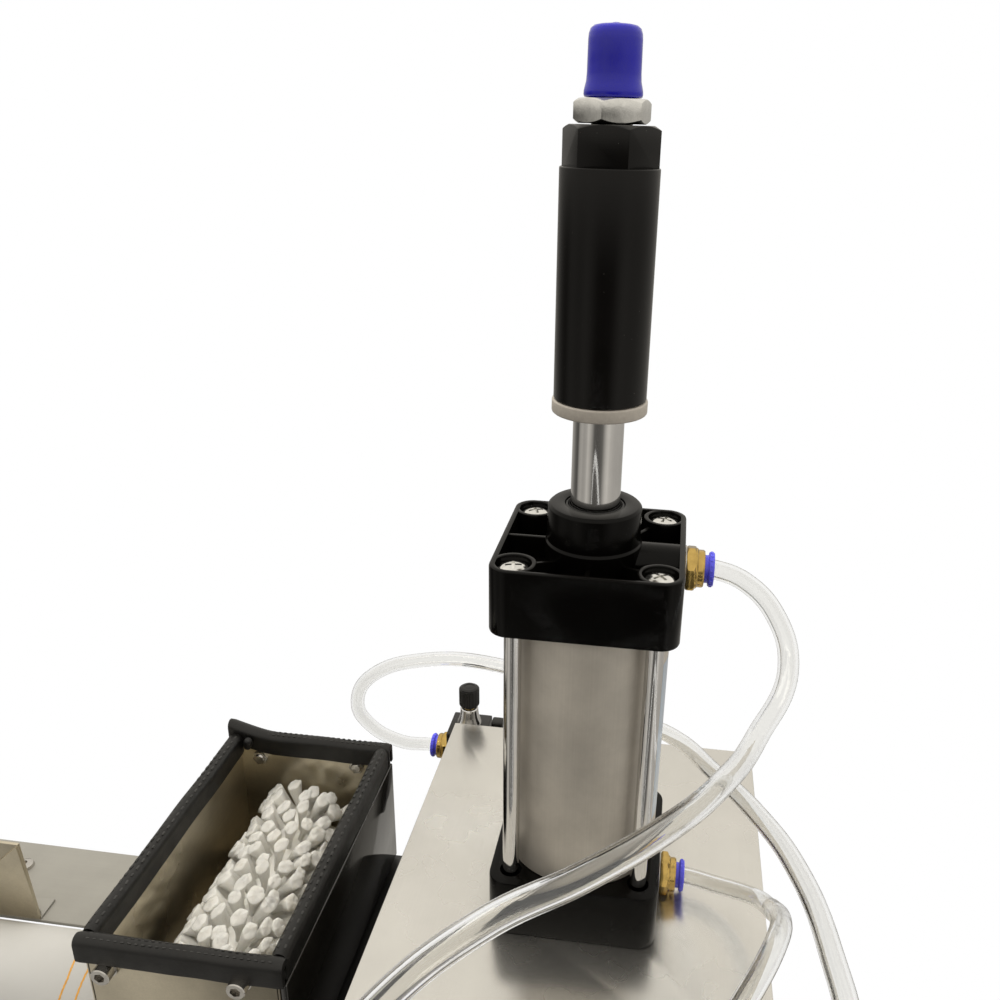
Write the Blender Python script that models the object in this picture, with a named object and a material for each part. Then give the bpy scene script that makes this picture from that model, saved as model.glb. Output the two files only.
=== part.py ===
"""Piston liquid filler: an air-driven filling head on a stainless cabinet, with a brush trough.

Run with blender --background --python part.py. Units are metres and +Z is up. The origin is the
centre of the base plate's underside, on the axis of the drive cylinder. The feed side is +Y, the
operator stands at -Y, and the brush trough hangs on the cabinet's -X side.

Every sub-part is one closed solid. Pieces that touch keep the small clearance GAP between them.
"""

import math

import bmesh
import bpy
from mathutils import Matrix, Vector

MM = 0.001

# Clearances
GAP = 0.3 * MM  # between pieces that touch
ROD_PLAY = 0.5 * MM  # radial, around the piston rod

# Cabinet
CABINET_WIDTH = 176 * MM
CABINET_FRONT = -105 * MM
CABINET_BACK = 115 * MM
CABINET_HEIGHT = 250 * MM  # underside of the base to the top of the top plate
SHEET = 2 * MM
TOP_PLATE_THICKNESS = 4 * MM
BASE_THICKNESS = 8 * MM
BASE_FLANGE = 18 * MM  # how far the base stands out around the cabinet
BASE_HOLE_RADIUS = 4.5 * MM

# Drive cylinder
CAP_SIDE = 75 * MM
CAP_LENGTH = 28.5 * MM
CAP_CORNER_RADIUS = 8 * MM
CAP_RIM = 2.4 * MM
CAP_POCKET_DEPTH = 10 * MM
CAP_RIB = 1.8 * MM
BORE_RADIUS = 31.5 * MM
BARREL_WALL = 2.5 * MM
BARREL_LENGTH = 122 * MM
BOSS_RADIUS = 19 * MM
BOSS_HEIGHT = 15.7 * MM
BOSS_STEP = 0.7 * MM
BOSS_CHAMFER = 1 * MM
TIE_SPACING = 56.5 * MM
TIE_ROD_RADIUS = 3.6 * MM
TIE_COLLAR_RADIUS = 9 * MM
TIE_HEAD_RADIUS = 6.4 * MM
TIE_HEAD_HEIGHT = 3.7 * MM
TIE_POCKET_DEPTH = 5 * MM
ROD_POCKET_DEPTH = 3 * MM  # round each tie rod, in the cap's inner face
PORT_RADIUS = 8.5 * MM
PORT_DEPTH = 12 * MM
PORT_INSET = 9.8 * MM  # port axis below the cap's outer face
AIR_PASSAGE_RADIUS = 2.5 * MM
ROD_RADIUS = 10 * MM
PISTON_LENGTH = 26 * MM
PISTON_TOP_PLAY = 2 * MM  # piston to the upper cap, at the top of the stroke
PISTON_CLEARANCE = 0.5 * MM
WIPER_HEIGHT = 2.6 * MM
WIPER_WIDTH = 1.7 * MM

# Stroke adjuster
STROKE = 38.2 * MM  # bumper ring to boss
BUMPER_RADIUS = 18.5 * MM
BUMPER_THICKNESS = 5.1 * MM
SLEEVE_RADIUS = 17.9 * MM
SLEEVE_LENGTH = 83.3 * MM
SLEEVE_COUNTERBORE = 61 * MM
HEX_RADIUS = 17.5 * MM  # across corners, halved
HEX_HEIGHT = 13.7 * MM
HEX_TURN = math.radians(-5.3)
THREAD_RADIUS = 8 * MM
NUT_RADIUS = 13.9 * MM
NUT_HEIGHT = 8 * MM
NUT_TURN = math.radians(19)
THREAD_CAP_RADIUS = 9.3 * MM
THREAD_CAP_HEIGHT = 23 * MM
THREAD_CAP_WALL = 0.9 * MM
THREAD_CAP_FLARE = 0.9 * MM
THREAD_END_PLAY = 3 * MM  # rod end to the inside of the thread cap's crown
THREAD_SHOULDER_PLAY = 2 * MM

# Push-in hose fittings
HOSE_RADIUS = 4 * MM
HOSE_PLAY = 0.5 * MM
FITTING_HEX_RADIUS = 9.9 * MM
FITTING_BODY_RADIUS = 7.7 * MM
FITTING_HEX_FROM = 0.8 * MM
FITTING_HEX_TO = 5.5 * MM
FITTING_LENGTH = 8 * MM
FITTING_FLOOR = 1.5 * MM
FITTING_PASSAGE = 3 * MM
FITTING_SOCKET_RADIUS = 6.2 * MM
SMALL_PORT_RADIUS = 5 * MM
SMALL_PORT_DEPTH = 8 * MM
COLLAR_TRAVEL_GAP = 1.6 * MM
COLLAR_FLANGE_RADIUS = 7.1 * MM
COLLAR_FLANGE = 2.4 * MM
COLLAR_SLEEVE_RADIUS = 5.8 * MM
COLLAR_SLEEVE_LENGTH = 6.6 * MM

# Speed control valve on the back wall
CONTROL_VALVE_SIDE = 24 * MM
CONTROL_VALVE_HEIGHT = 60 * MM
CONTROL_VALVE_TOP = -9 * MM  # below the top plate
CONTROL_VALVE_OVERHANG = 6 * MM  # past the cabinet's left side
CONTROL_PORT_DROP = 18 * MM
BONNET_RADIUS = 7.6 * MM
BONNET_TOP_RADIUS = 5.4 * MM
BONNET_HEIGHT = 13 * MM
STEM_RADIUS = 2.9 * MM
KNOB_RADIUS = 6.2 * MM
KNOB_HEIGHT = 12.7 * MM
KNOB_SOCKET = 7 * MM

# Directional valve on the front panel
AIR_VALVE_LENGTH = 96 * MM
AIR_VALVE_DEPTH = 45 * MM
AIR_VALVE_HEIGHT = 38 * MM
AIR_VALVE_TOP = -80 * MM
AIR_VALVE_CENTRE_X = 6 * MM
AIR_PORT_Y = -135 * MM
AIR_PORT_PITCH = 26 * MM

# Metering pump inside the cabinet
METERING_BORE = 25 * MM
METERING_WALL = 4 * MM
METERING_LENGTH = 108 * MM
METERING_PISTON_LENGTH = 16 * MM
METERING_PISTON_DROP = 22 * MM  # its top below the top plate, at the top of the stroke
METERING_CLEARANCE = 0.5 * MM
ROD_SEAT_DEPTH = 8 * MM
SEAL_WIDTH = 3 * MM
SEAL_DEPTH = 2.4 * MM
FLANGE_THICKNESS = 14 * MM
BLOCK_SIDE = 80 * MM
BLOCK_HEIGHT = 40 * MM
CHAMBER_RADIUS = 8 * MM
THROAT_RADIUS = 6.5 * MM
SEAT_RADIUS = 5 * MM
SEAT_WEB = 4 * MM
POPPET_RADIUS = 6.8 * MM
POPPET_THICKNESS = 3 * MM
POPPET_STEM_RADIUS = 3 * MM
POPPET_STEM_LENGTH = 12 * MM
INSERT_LENGTH = 20 * MM
PIPE_BORE = 4.5 * MM
PIPE_RADIUS = 7 * MM
PIPE_FLANGE_RADIUS = 12 * MM
PIPE_FLANGE_THICKNESS = 9 * MM
INLET_REACH = 35 * MM  # past the cabinet
OUTLET_REACH = 55 * MM
FERRULE_RADIUS = 12.6 * MM
FERRULE_THICKNESS = 3 * MM

# Brush trough
TROUGH_LENGTH = 147 * MM
TROUGH_WIDTH = 85 * MM
TROUGH_DEPTH = 84 * MM
TROUGH_RIM = 17.2 * MM  # above the top plate
TROUGH_CENTRE_Y = -11.5 * MM
TROUGH_OFFSET = 26 * MM  # its inner side to the cabinet
TRIM_HEIGHT = 12 * MM
TRIM_THICKNESS = 2.8 * MM
COVER_THICKNESS = 3 * MM
COVER_TOP = 7.4 * MM
COVER_BOTTOM = -56 * MM
BRACKET_SHEET = 3 * MM
BRACKET_TOP = -57 * MM
BRACKET_DROP = 28 * MM
BRUSH_RADIUS = 28 * MM
BRUSH_AXIS_Z = -30 * MM
BRUSH_FROM = -76 * MM
BRUSH_TO = 50 * MM
SHAFT_RADIUS = 5 * MM
SHAFT_STAND_OUT = 7 * MM

# Side deck and belt roller beside the trough
DECK_LENGTH = 122 * MM
DECK_TOP = -31 * MM
DECK_FRONT = -36 * MM
DECK_BACK = 12 * MM
DECK_FLANGE = 24 * MM
BELT_RADIUS = 29.5 * MM
BELT_AXIS_Y = -61 * MM
BELT_AXIS_Z = -50 * MM
BELT_GAP = 4 * MM  # roller's end to the trough
BELT_LENGTH = 117 * MM

# Hoses: the routes from the fittings that they leave to the fittings that they enter, in
# millimetres, measured from the centre of the top plate's upper face.
HOSE_SPACING = 21 * MM
HOSE_UPPER_ROUTE = [
    (39.3, 0, 170.1), (50, 0, 170.1), (63, -4, 167), (74.5, -14, 158.5), (79, -32, 147),
    (66.5, -64.5, 137), (52, -104, 145), (34, -139, 154), (14, -164, 158), (-8, -182, 157),
    (-29, -201, 148), (-46, -213, 124), (-54, -211, 90), (-46, -190, 50), (-34, -162, 15),
    (-24, -142, -12), (-20, -135, -38), (-20, -135, -60), (-20, -135, -78.2),
]
HOSE_LOWER_ROUTE = [
    (39.3, 0, 10.1), (50, 0, 10.1), (63, -4, 11), (79, -17, 19), (85, -37, 32), (81, -61, 55),
    (81, -80, 69), (77, -99, 78), (66, -123, 78), (51, -143, 68), (34, -152, 48), (18, -149, 21),
    (8, -140, -11), (6, -136, -36), (6, -135, -60), (6, -135, -78.2),
]
HOSE_SUPPLY_ROUTE = [
    (-95.8, 127.3, -27), (-107, 127.3, -27), (-124, 122, -23), (-142, 114, -6), (-145, 106, 16),
    (-133, 102, 37), (-101, 101, 51), (-58, 96, 55), (-23, 84, 53), (8, 64, 54), (40, 34, 63),
    (58, -3, 73), (73, -41, 84), (84, -74, 90), (91, -114, 93), (92, -153, 91), (82, -178, 79),
    (62, -190, 54), (45, -181, 25), (36, -152, -11), (33, -139, -36), (32, -135, -60),
    (32, -135, -78.2),
]

# Turning resolution
FINE = 40
MEDIUM = 24
COARSE = 16

# Places that follow from the sizes above, measured from the top plate's upper face
CAP_LOW = GAP
BARREL_LOW = CAP_LOW + CAP_LENGTH + GAP
CAP_HIGH = BARREL_LOW + BARREL_LENGTH + GAP
CYLINDER_TOP = CAP_HIGH + CAP_LENGTH
BOSS_TOP = CYLINDER_TOP + BOSS_HEIGHT
BUMPER_LOW = BOSS_TOP + STROKE
SLEEVE_LOW = BUMPER_LOW + BUMPER_THICKNESS + GAP
SLEEVE_TOP = SLEEVE_LOW + SLEEVE_LENGTH + HEX_HEIGHT
NUT_LOW = SLEEVE_TOP + GAP
THREAD_CAP_LOW = NUT_LOW + NUT_HEIGHT + GAP
ROD_END = THREAD_CAP_LOW + THREAD_CAP_HEIGHT - THREAD_CAP_WALL - THREAD_END_PLAY
PISTON_LOW = CAP_HIGH - PISTON_TOP_PLAY - PISTON_LENGTH
FLANGE_TOP = -TOP_PLATE_THICKNESS - GAP
TUBE_TOP = FLANGE_TOP - FLANGE_THICKNESS - GAP
BLOCK_TOP = TUBE_TOP - METERING_LENGTH - GAP
PIPE_Z = BLOCK_TOP - BLOCK_HEIGHT / 2
TROUGH_INNER_X = -CABINET_WIDTH / 2 - TROUGH_OFFSET
TROUGH_OUTER_X = TROUGH_INNER_X - TROUGH_WIDTH
TROUGH_CENTRE_X = (TROUGH_INNER_X + TROUGH_OUTER_X) / 2
TROUGH_FRONT = TROUGH_CENTRE_Y - TROUGH_LENGTH / 2
TROUGH_BACK = TROUGH_CENTRE_Y + TROUGH_LENGTH / 2
PI = math.pi
TOWARDS_X = Matrix.Rotation(PI / 2, 4, "Y")
TOWARDS_MINUS_X = Matrix.Rotation(-PI / 2, 4, "Y")
TOWARDS_Y = Matrix.Rotation(-PI / 2, 4, "X")
TOWARDS_MINUS_Y = Matrix.Rotation(PI / 2, 4, "X")


# Shapes: each of these returns a mesh


def finished(shape, name="shape"):
    """Close a bmesh into a mesh whose faces point out, with flat and round faces told apart."""
    bmesh.ops.remove_doubles(shape, verts=shape.verts, dist=1e-7)
    bmesh.ops.recalc_face_normals(shape, faces=shape.faces)
    mesh = bpy.data.meshes.new(name)
    shape.to_mesh(mesh)
    shape.free()
    return mesh


def turned(profile, segments=MEDIUM):
    """Turn (radius, height) points about Z: a ring, or a solid if the ends are on the axis."""
    shape = bmesh.new()
    verts = [shape.verts.new((radius, 0, height)) for radius, height in profile]
    edges = [shape.edges.new(pair) for pair in zip(verts, verts[1:])]
    if profile[0][0] > 0:
        edges.append(shape.edges.new((verts[-1], verts[0])))
    bmesh.ops.spin(
        shape,
        geom=verts + edges,
        cent=(0, 0, 0),
        axis=(0, 0, 1),
        angle=2 * PI,
        steps=segments,
        use_merge=True,
    )
    return finished(shape)


def rod(radius, low, high, segments=MEDIUM, chamfer=0.0):
    """A round bar along Z, with chamfered ends if a chamfer is given."""
    if chamfer == 0:
        return turned([(0, low), (radius, low), (radius, high), (0, high)], segments)
    return turned(
        [
            (0, low),
            (radius - chamfer, low),
            (radius, low + chamfer),
            (radius, high - chamfer),
            (radius - chamfer, high),
            (0, high),
        ],
        segments,
    )


def tube(inner, outer, low, high, segments=MEDIUM):
    """A round tube along Z."""
    return turned([(inner, low), (outer, low), (outer, high), (inner, high)], segments)


def prism(outline, low, high):
    """Extrude a closed outline of (x, y) points between two heights."""
    shape = bmesh.new()
    face = shape.faces.new([shape.verts.new((x, y, low)) for x, y in outline])
    raised = bmesh.ops.extrude_face_region(shape, geom=[face])["geom"]
    bmesh.ops.translate(
        shape,
        vec=(0, 0, high - low),
        verts=[item for item in raised if isinstance(item, bmesh.types.BMVert)],
    )
    return finished(shape)


def box(low, high):
    """A box between two corners."""
    (x0, y0, z0), (x1, y1, z1) = low, high
    return prism([(x0, y0), (x1, y0), (x1, y1), (x0, y1)], z0, z1)


def rounded_rectangle(width, depth, radius, steps=5):
    """The outline of a rectangle with round corners, centred on the axis."""
    points = []
    corners = ((1, 1), (-1, 1), (-1, -1), (1, -1))
    for quarter, (side_x, side_y) in enumerate(corners):
        for step in range(steps + 1):
            angle = (quarter + step / steps) * PI / 2
            points.append(
                (
                    side_x * (width / 2 - radius) + radius * math.cos(angle),
                    side_y * (depth / 2 - radius) + radius * math.sin(angle),
                )
            )
    return points


def moved(mesh, offset=(0, 0, 0), turn=None):
    """Turn a mesh about the origin and then shift it."""
    mesh.transform(Matrix.Translation(offset) @ (turn or Matrix.Identity(4)))
    return mesh


def carved(body, added=(), cut=()):
    """Join and cut meshes with exact Booleans, and return the finished mesh."""
    scene = bpy.context.scene.collection
    base = bpy.data.objects.new("carved", body)
    scene.objects.link(base)
    helpers = [base]
    for operation, tools in (("UNION", added), ("DIFFERENCE", cut)):
        for tool in tools:
            helper = bpy.data.objects.new("tool", tool)
            scene.objects.link(helper)
            helpers.append(helper)
            modifier = base.modifiers.new(operation.lower(), "BOOLEAN")
            modifier.operation = operation
            modifier.object = helper
    graph = bpy.context.evaluated_depsgraph_get()
    mesh = bpy.data.meshes.new_from_object(base.evaluated_get(graph))
    for helper in helpers:
        bpy.data.objects.remove(helper)
    return mesh


# Placing


def empty(name, location, parent=None):
    """An axis or reference point that pieces are placed from."""
    place = bpy.data.objects.new(name, None)
    place.location = location
    place.parent = parent
    bpy.context.scene.collection.objects.link(place)
    return place


def piece(name, mesh, material, parent, location=(0, 0, 0), rotation=(0, 0, 0)):
    """Make a named sub-part from a mesh and put it in its place."""
    mesh.shade_smooth()
    mesh.set_sharp_from_angle(angle=math.radians(32))
    mesh.materials.clear()
    mesh.materials.append(material)
    part = bpy.data.objects.new(name, mesh)
    part.location = location
    part.rotation_euler = rotation
    part.parent = parent
    bpy.context.scene.collection.objects.link(part)
    return part


def material(name, colour, roughness, metallic=0.0):
    """A Principled material."""
    made = bpy.data.materials.new(name)
    made.use_nodes = True
    shader = made.node_tree.nodes["Principled BSDF"]
    shader.inputs["Base Color"].default_value = (*colour, 1)
    shader.inputs["Roughness"].default_value = roughness
    shader.inputs["Metallic"].default_value = metallic
    return made


# Cabinet


def cabinet(deck, looks):
    """The stainless cabinet: base, folded shell, front panel and top plate."""
    half = CABINET_WIDTH / 2
    floor = BASE_THICKNESS - CABINET_HEIGHT
    wall_low = floor + GAP
    wall_high = -TOP_PLATE_THICKNESS - GAP
    centre_y = (CABINET_FRONT + CABINET_BACK) / 2
    depth = CABINET_BACK - CABINET_FRONT

    outline = rounded_rectangle(CABINET_WIDTH + 2 * BASE_FLANGE, depth + 2 * BASE_FLANGE, 10 * MM)
    hole_x = half + BASE_FLANGE / 2
    hole_y = depth / 2 + BASE_FLANGE / 2
    holes = [
        moved(
            rod(BASE_HOLE_RADIUS, floor - 2 * BASE_THICKNESS, floor + BASE_THICKNESS, COARSE),
            (side_x * hole_x, side_y * hole_y, 0),
        )
        for side_x in (-1, 1)
        for side_y in (-1, 1)
    ]
    base = carved(prism(outline, -CABINET_HEIGHT, floor), cut=holes)
    piece("base_plate", moved(base, (0, centre_y, 0)), looks["steel"], deck)

    inner = half - SHEET
    shell = prism(
        [
            (-half, CABINET_FRONT),
            (-inner, CABINET_FRONT),
            (-inner, CABINET_BACK - SHEET),
            (inner, CABINET_BACK - SHEET),
            (inner, CABINET_FRONT),
            (half, CABINET_FRONT),
            (half, CABINET_BACK),
            (-half, CABINET_BACK),
        ],
        wall_low,
        wall_high,
    )
    pipe_hole = moved(
        rod(FERRULE_RADIUS + 1 * MM, CABINET_BACK - 10 * MM, CABINET_BACK + 10 * MM, COARSE),
        (0, 0, PIPE_Z),
        TOWARDS_Y,
    )
    piece("cabinet_shell", carved(shell, cut=[pipe_hole]), looks["steel"], deck)

    panel = box(
        (-inner + GAP, CABINET_FRONT, wall_low), (inner - GAP, CABINET_FRONT + SHEET, wall_high)
    )
    pipe_hole = moved(
        rod(FERRULE_RADIUS + 1 * MM, -CABINET_FRONT - 10 * MM, -CABINET_FRONT + 10 * MM, COARSE),
        (0, 0, PIPE_Z),
        TOWARDS_MINUS_Y,
    )
    piece("front_panel", carved(panel, cut=[pipe_hole]), looks["steel"], deck)

    plate = box(
        (-half, CABINET_FRONT, -TOP_PLATE_THICKNESS),
        (half, CABINET_BACK, 0),
    )
    boss_hole = rod(BOSS_RADIUS + BOSS_STEP + GAP, -10 * MM, 10 * MM, MEDIUM)
    stud_holes = tie_places(lambda: rod(TIE_ROD_RADIUS + GAP, -10 * MM, 10 * MM, COARSE))
    piece("top_plate", carved(plate, cut=[boss_hole, *stud_holes]), looks["plate"], deck)


# Drive cylinder


def tie_places(make):
    """Make a mesh for each of the four tie-rod places, and shift it there."""
    half = TIE_SPACING / 2
    return [moved(make(), (x, y, 0)) for x, y in ((-half, -half), (half, -half), (half, half), (-half, half))]


def end_cap():
    """An end cap: its inner face at height 0, and the rod boss standing on its outer face."""
    floor = CAP_LENGTH - CAP_POCKET_DEPTH
    inside = CAP_SIDE - 2 * CAP_RIM
    body = prism(rounded_rectangle(CAP_SIDE, CAP_SIDE, CAP_CORNER_RADIUS), 0, CAP_LENGTH)
    pocket = prism(
        rounded_rectangle(inside, inside, CAP_CORNER_RADIUS - CAP_RIM), floor, CAP_LENGTH + BOSS_HEIGHT
    )
    hollow = carved(body, cut=[pocket])

    root = floor - 3 * MM
    rim = CAP_LENGTH
    top = rim + BOSS_HEIGHT
    boss = turned(
        [
            (0, root),
            (BOSS_RADIUS + BOSS_STEP, root),
            (BOSS_RADIUS + BOSS_STEP, rim),
            (BOSS_RADIUS, rim + BOSS_STEP),
            (BOSS_RADIUS, top - BOSS_CHAMFER),
            (BOSS_RADIUS - BOSS_CHAMFER, top),
            (0, top),
        ],
        FINE,
    )
    collars = tie_places(lambda: rod(TIE_COLLAR_RADIUS, root, rim - 0.4 * MM, MEDIUM))
    port_z = CAP_LENGTH - PORT_INSET
    tunnel = moved(
        rod(PORT_INSET - GAP, BOSS_RADIUS - 4 * MM, CAP_SIDE / 2 - 1 * MM, MEDIUM),
        (0, 0, port_z),
        TOWARDS_X,
    )
    reach = CAP_SIDE / 2 - 1 * MM
    left_rib = box((-reach, -CAP_RIB / 2, root), (-BOSS_RADIUS + 2 * MM, CAP_RIB / 2, rim - 0.7 * MM))
    front_rib = box((-CAP_RIB / 2, -reach, root), (CAP_RIB / 2, -BOSS_RADIUS + 2 * MM, rim - 4 * MM))
    diagonal_ribs = [
        moved(
            box((BOSS_RADIUS - 2 * MM, -CAP_RIB / 2, root), (reach, CAP_RIB / 2, rim - 2.5 * MM)),
            turn=Matrix.Rotation(quarter * PI / 2 + PI / 4, 4, "Z"),
        )
        for quarter in range(4)
    ]

    wiper_seat = top - WIPER_HEIGHT - 2 * GAP
    rod_bore = turned(
        [
            (0, -10 * MM),
            (ROD_RADIUS + ROD_PLAY, -10 * MM),
            (ROD_RADIUS + ROD_PLAY, wiper_seat),
            (ROD_RADIUS + ROD_PLAY + WIPER_WIDTH, wiper_seat),
            (ROD_RADIUS + ROD_PLAY + WIPER_WIDTH, top + 10 * MM),
            (0, top + 10 * MM),
        ],
        FINE,
    )
    hole = TIE_ROD_RADIUS + GAP
    tie_bores = tie_places(
        lambda: turned(
            [
                (0, -10 * MM),
                (TIE_HEAD_RADIUS, -10 * MM),
                (TIE_HEAD_RADIUS, ROD_POCKET_DEPTH),
                (hole, ROD_POCKET_DEPTH),
                (hole, rim - TIE_POCKET_DEPTH),
                (TIE_HEAD_RADIUS + 3 * GAP, rim - TIE_POCKET_DEPTH),
                (TIE_HEAD_RADIUS + 3 * GAP, rim + 10 * MM),
                (0, rim + 10 * MM),
            ],
            COARSE,
        )
    )
    air = AIR_PASSAGE_RADIUS
    port_floor = CAP_SIDE / 2 - PORT_DEPTH
    air_x = port_floor - air
    port = turned(
        [
            (0, air_x - air),
            (air, air_x - air),
            (air, port_floor),
            (PORT_RADIUS, port_floor),
            (PORT_RADIUS, CAP_SIDE),
            (0, CAP_SIDE),
        ],
        MEDIUM,
    )
    port = moved(port, (0, 0, port_z), TOWARDS_X)
    air_down = moved(rod(0.9 * air, -10 * MM, port_z - air / 2, COARSE), (air_x, 0, 0))
    return carved(
        hollow,
        added=[boss, *collars, tunnel, left_rib, front_rib, *diagonal_ribs],
        cut=[rod_bore, *tie_bores, port, air_down],
    )


def drive_cylinder(deck, looks):
    """The fixed pieces of the drive cylinder: caps, barrel, tie rods, screws and wipers."""
    cap_mesh = end_cap()
    piece("upper_end_cap", cap_mesh, looks["black"], deck, (0, 0, CAP_HIGH))
    piece(
        "lower_end_cap",
        cap_mesh.copy(),
        looks["black"],
        deck,
        (0, 0, CAP_LOW + CAP_LENGTH),
        (PI, 0, 0),
    )
    barrel = tube(BORE_RADIUS, BORE_RADIUS + BARREL_WALL, 0, BARREL_LENGTH, FINE)
    piece("barrel", barrel, looks["aluminium"], deck, (0, 0, BARREL_LOW))

    rod_low = 6 * MM
    rod_high = CYLINDER_TOP - 14.5 * MM
    head_low = CYLINDER_TOP - TIE_POCKET_DEPTH + GAP
    half = TIE_SPACING / 2
    places = ((-half, -half), (half, -half), (half, half), (-half, half))
    for number, (x, y) in enumerate(places, start=1):
        bar = rod(TIE_ROD_RADIUS, rod_low, rod_high, COARSE, chamfer=0.6 * MM)
        piece(f"tie_rod_{number}", bar, looks["chrome"], deck, (x, y, 0))
        screw = turned(
            [
                (0, rod_high + GAP),
                (TIE_ROD_RADIUS - 0.6 * MM, rod_high + GAP),
                (TIE_ROD_RADIUS - 0.6 * MM, head_low),
                (TIE_HEAD_RADIUS, head_low),
                (TIE_HEAD_RADIUS, head_low + TIE_HEAD_HEIGHT * 0.45),
                (TIE_HEAD_RADIUS * 0.75, head_low + TIE_HEAD_HEIGHT * 0.85),
                (TIE_HEAD_RADIUS * 0.3, head_low + TIE_HEAD_HEIGHT),
                (0, head_low + TIE_HEAD_HEIGHT),
            ],
            COARSE,
        )
        piece(f"tie_screw_{number}", screw, looks["zinc"], deck, (x, y, 0))

    ring = tube(
        ROD_RADIUS + GAP, ROD_RADIUS + ROD_PLAY + WIPER_WIDTH - GAP, 0, WIPER_HEIGHT, MEDIUM
    )
    piece("rod_wiper_upper", ring, looks["rubber"], deck, (0, 0, BOSS_TOP - WIPER_HEIGHT - GAP))
    low = CAP_LOW - BOSS_HEIGHT + GAP
    piece("rod_wiper_lower", ring.copy(), looks["rubber"], deck, (0, 0, low))


def moving_rod(axis, looks):
    """What the stroke moves: the through rod, the drive piston and the metering piston."""
    metering_top = -METERING_PISTON_DROP
    rod_foot = metering_top - ROD_SEAT_DEPTH + GAP
    shoulder = SLEEVE_LOW + SLEEVE_COUNTERBORE - THREAD_SHOULDER_PLAY
    through_rod = turned(
        [
            (0, rod_foot),
            (ROD_RADIUS - 1 * MM, rod_foot),
            (ROD_RADIUS, rod_foot + 1 * MM),
            (ROD_RADIUS, shoulder - 1 * MM),
            (ROD_RADIUS - 1 * MM, shoulder),
            (THREAD_RADIUS, shoulder),
            (THREAD_RADIUS, ROD_END - 1 * MM),
            (THREAD_RADIUS - 1 * MM, ROD_END),
            (0, ROD_END),
        ],
        MEDIUM,
    )
    piece("piston_rod", through_rod, looks["chrome"], axis)

    inner = ROD_RADIUS + GAP
    radius = BORE_RADIUS - PISTON_CLEARANCE
    side, ring = sealed_side(radius, PISTON_LOW, PISTON_LOW + PISTON_LENGTH)
    profile = [(inner, PISTON_LOW), *side, (inner, PISTON_LOW + PISTON_LENGTH)]
    piece("drive_piston", turned(profile, FINE), looks["aluminium"], axis)
    piece("piston_seal", ring, looks["rubber"], axis)

    radius = METERING_BORE - METERING_CLEARANCE
    low = metering_top - METERING_PISTON_LENGTH
    side, ring = sealed_side(radius, low, metering_top)
    seat = metering_top - ROD_SEAT_DEPTH
    profile = [(0, low), *side, (inner, metering_top), (inner, seat), (0, seat)]
    piece("metering_piston", turned(profile, FINE), looks["steel"], axis)
    piece("metering_seal", ring, looks["rubber"], axis)


def sealed_side(radius, low, high):
    """The profile of a piston's side with one groove at its middle, and the seal for it."""
    middle = (low + high) / 2
    groove_low = middle - SEAL_WIDTH / 2 - GAP
    groove_high = middle + SEAL_WIDTH / 2 + GAP
    floor = radius - SEAL_DEPTH
    side = [
        (radius, low),
        (radius, groove_low),
        (floor, groove_low),
        (floor, groove_high),
        (radius, groove_high),
        (radius, high),
    ]
    return side, tube(floor + GAP, radius + 0.2 * MM, groove_low + GAP, groove_high - GAP, FINE)


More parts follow.
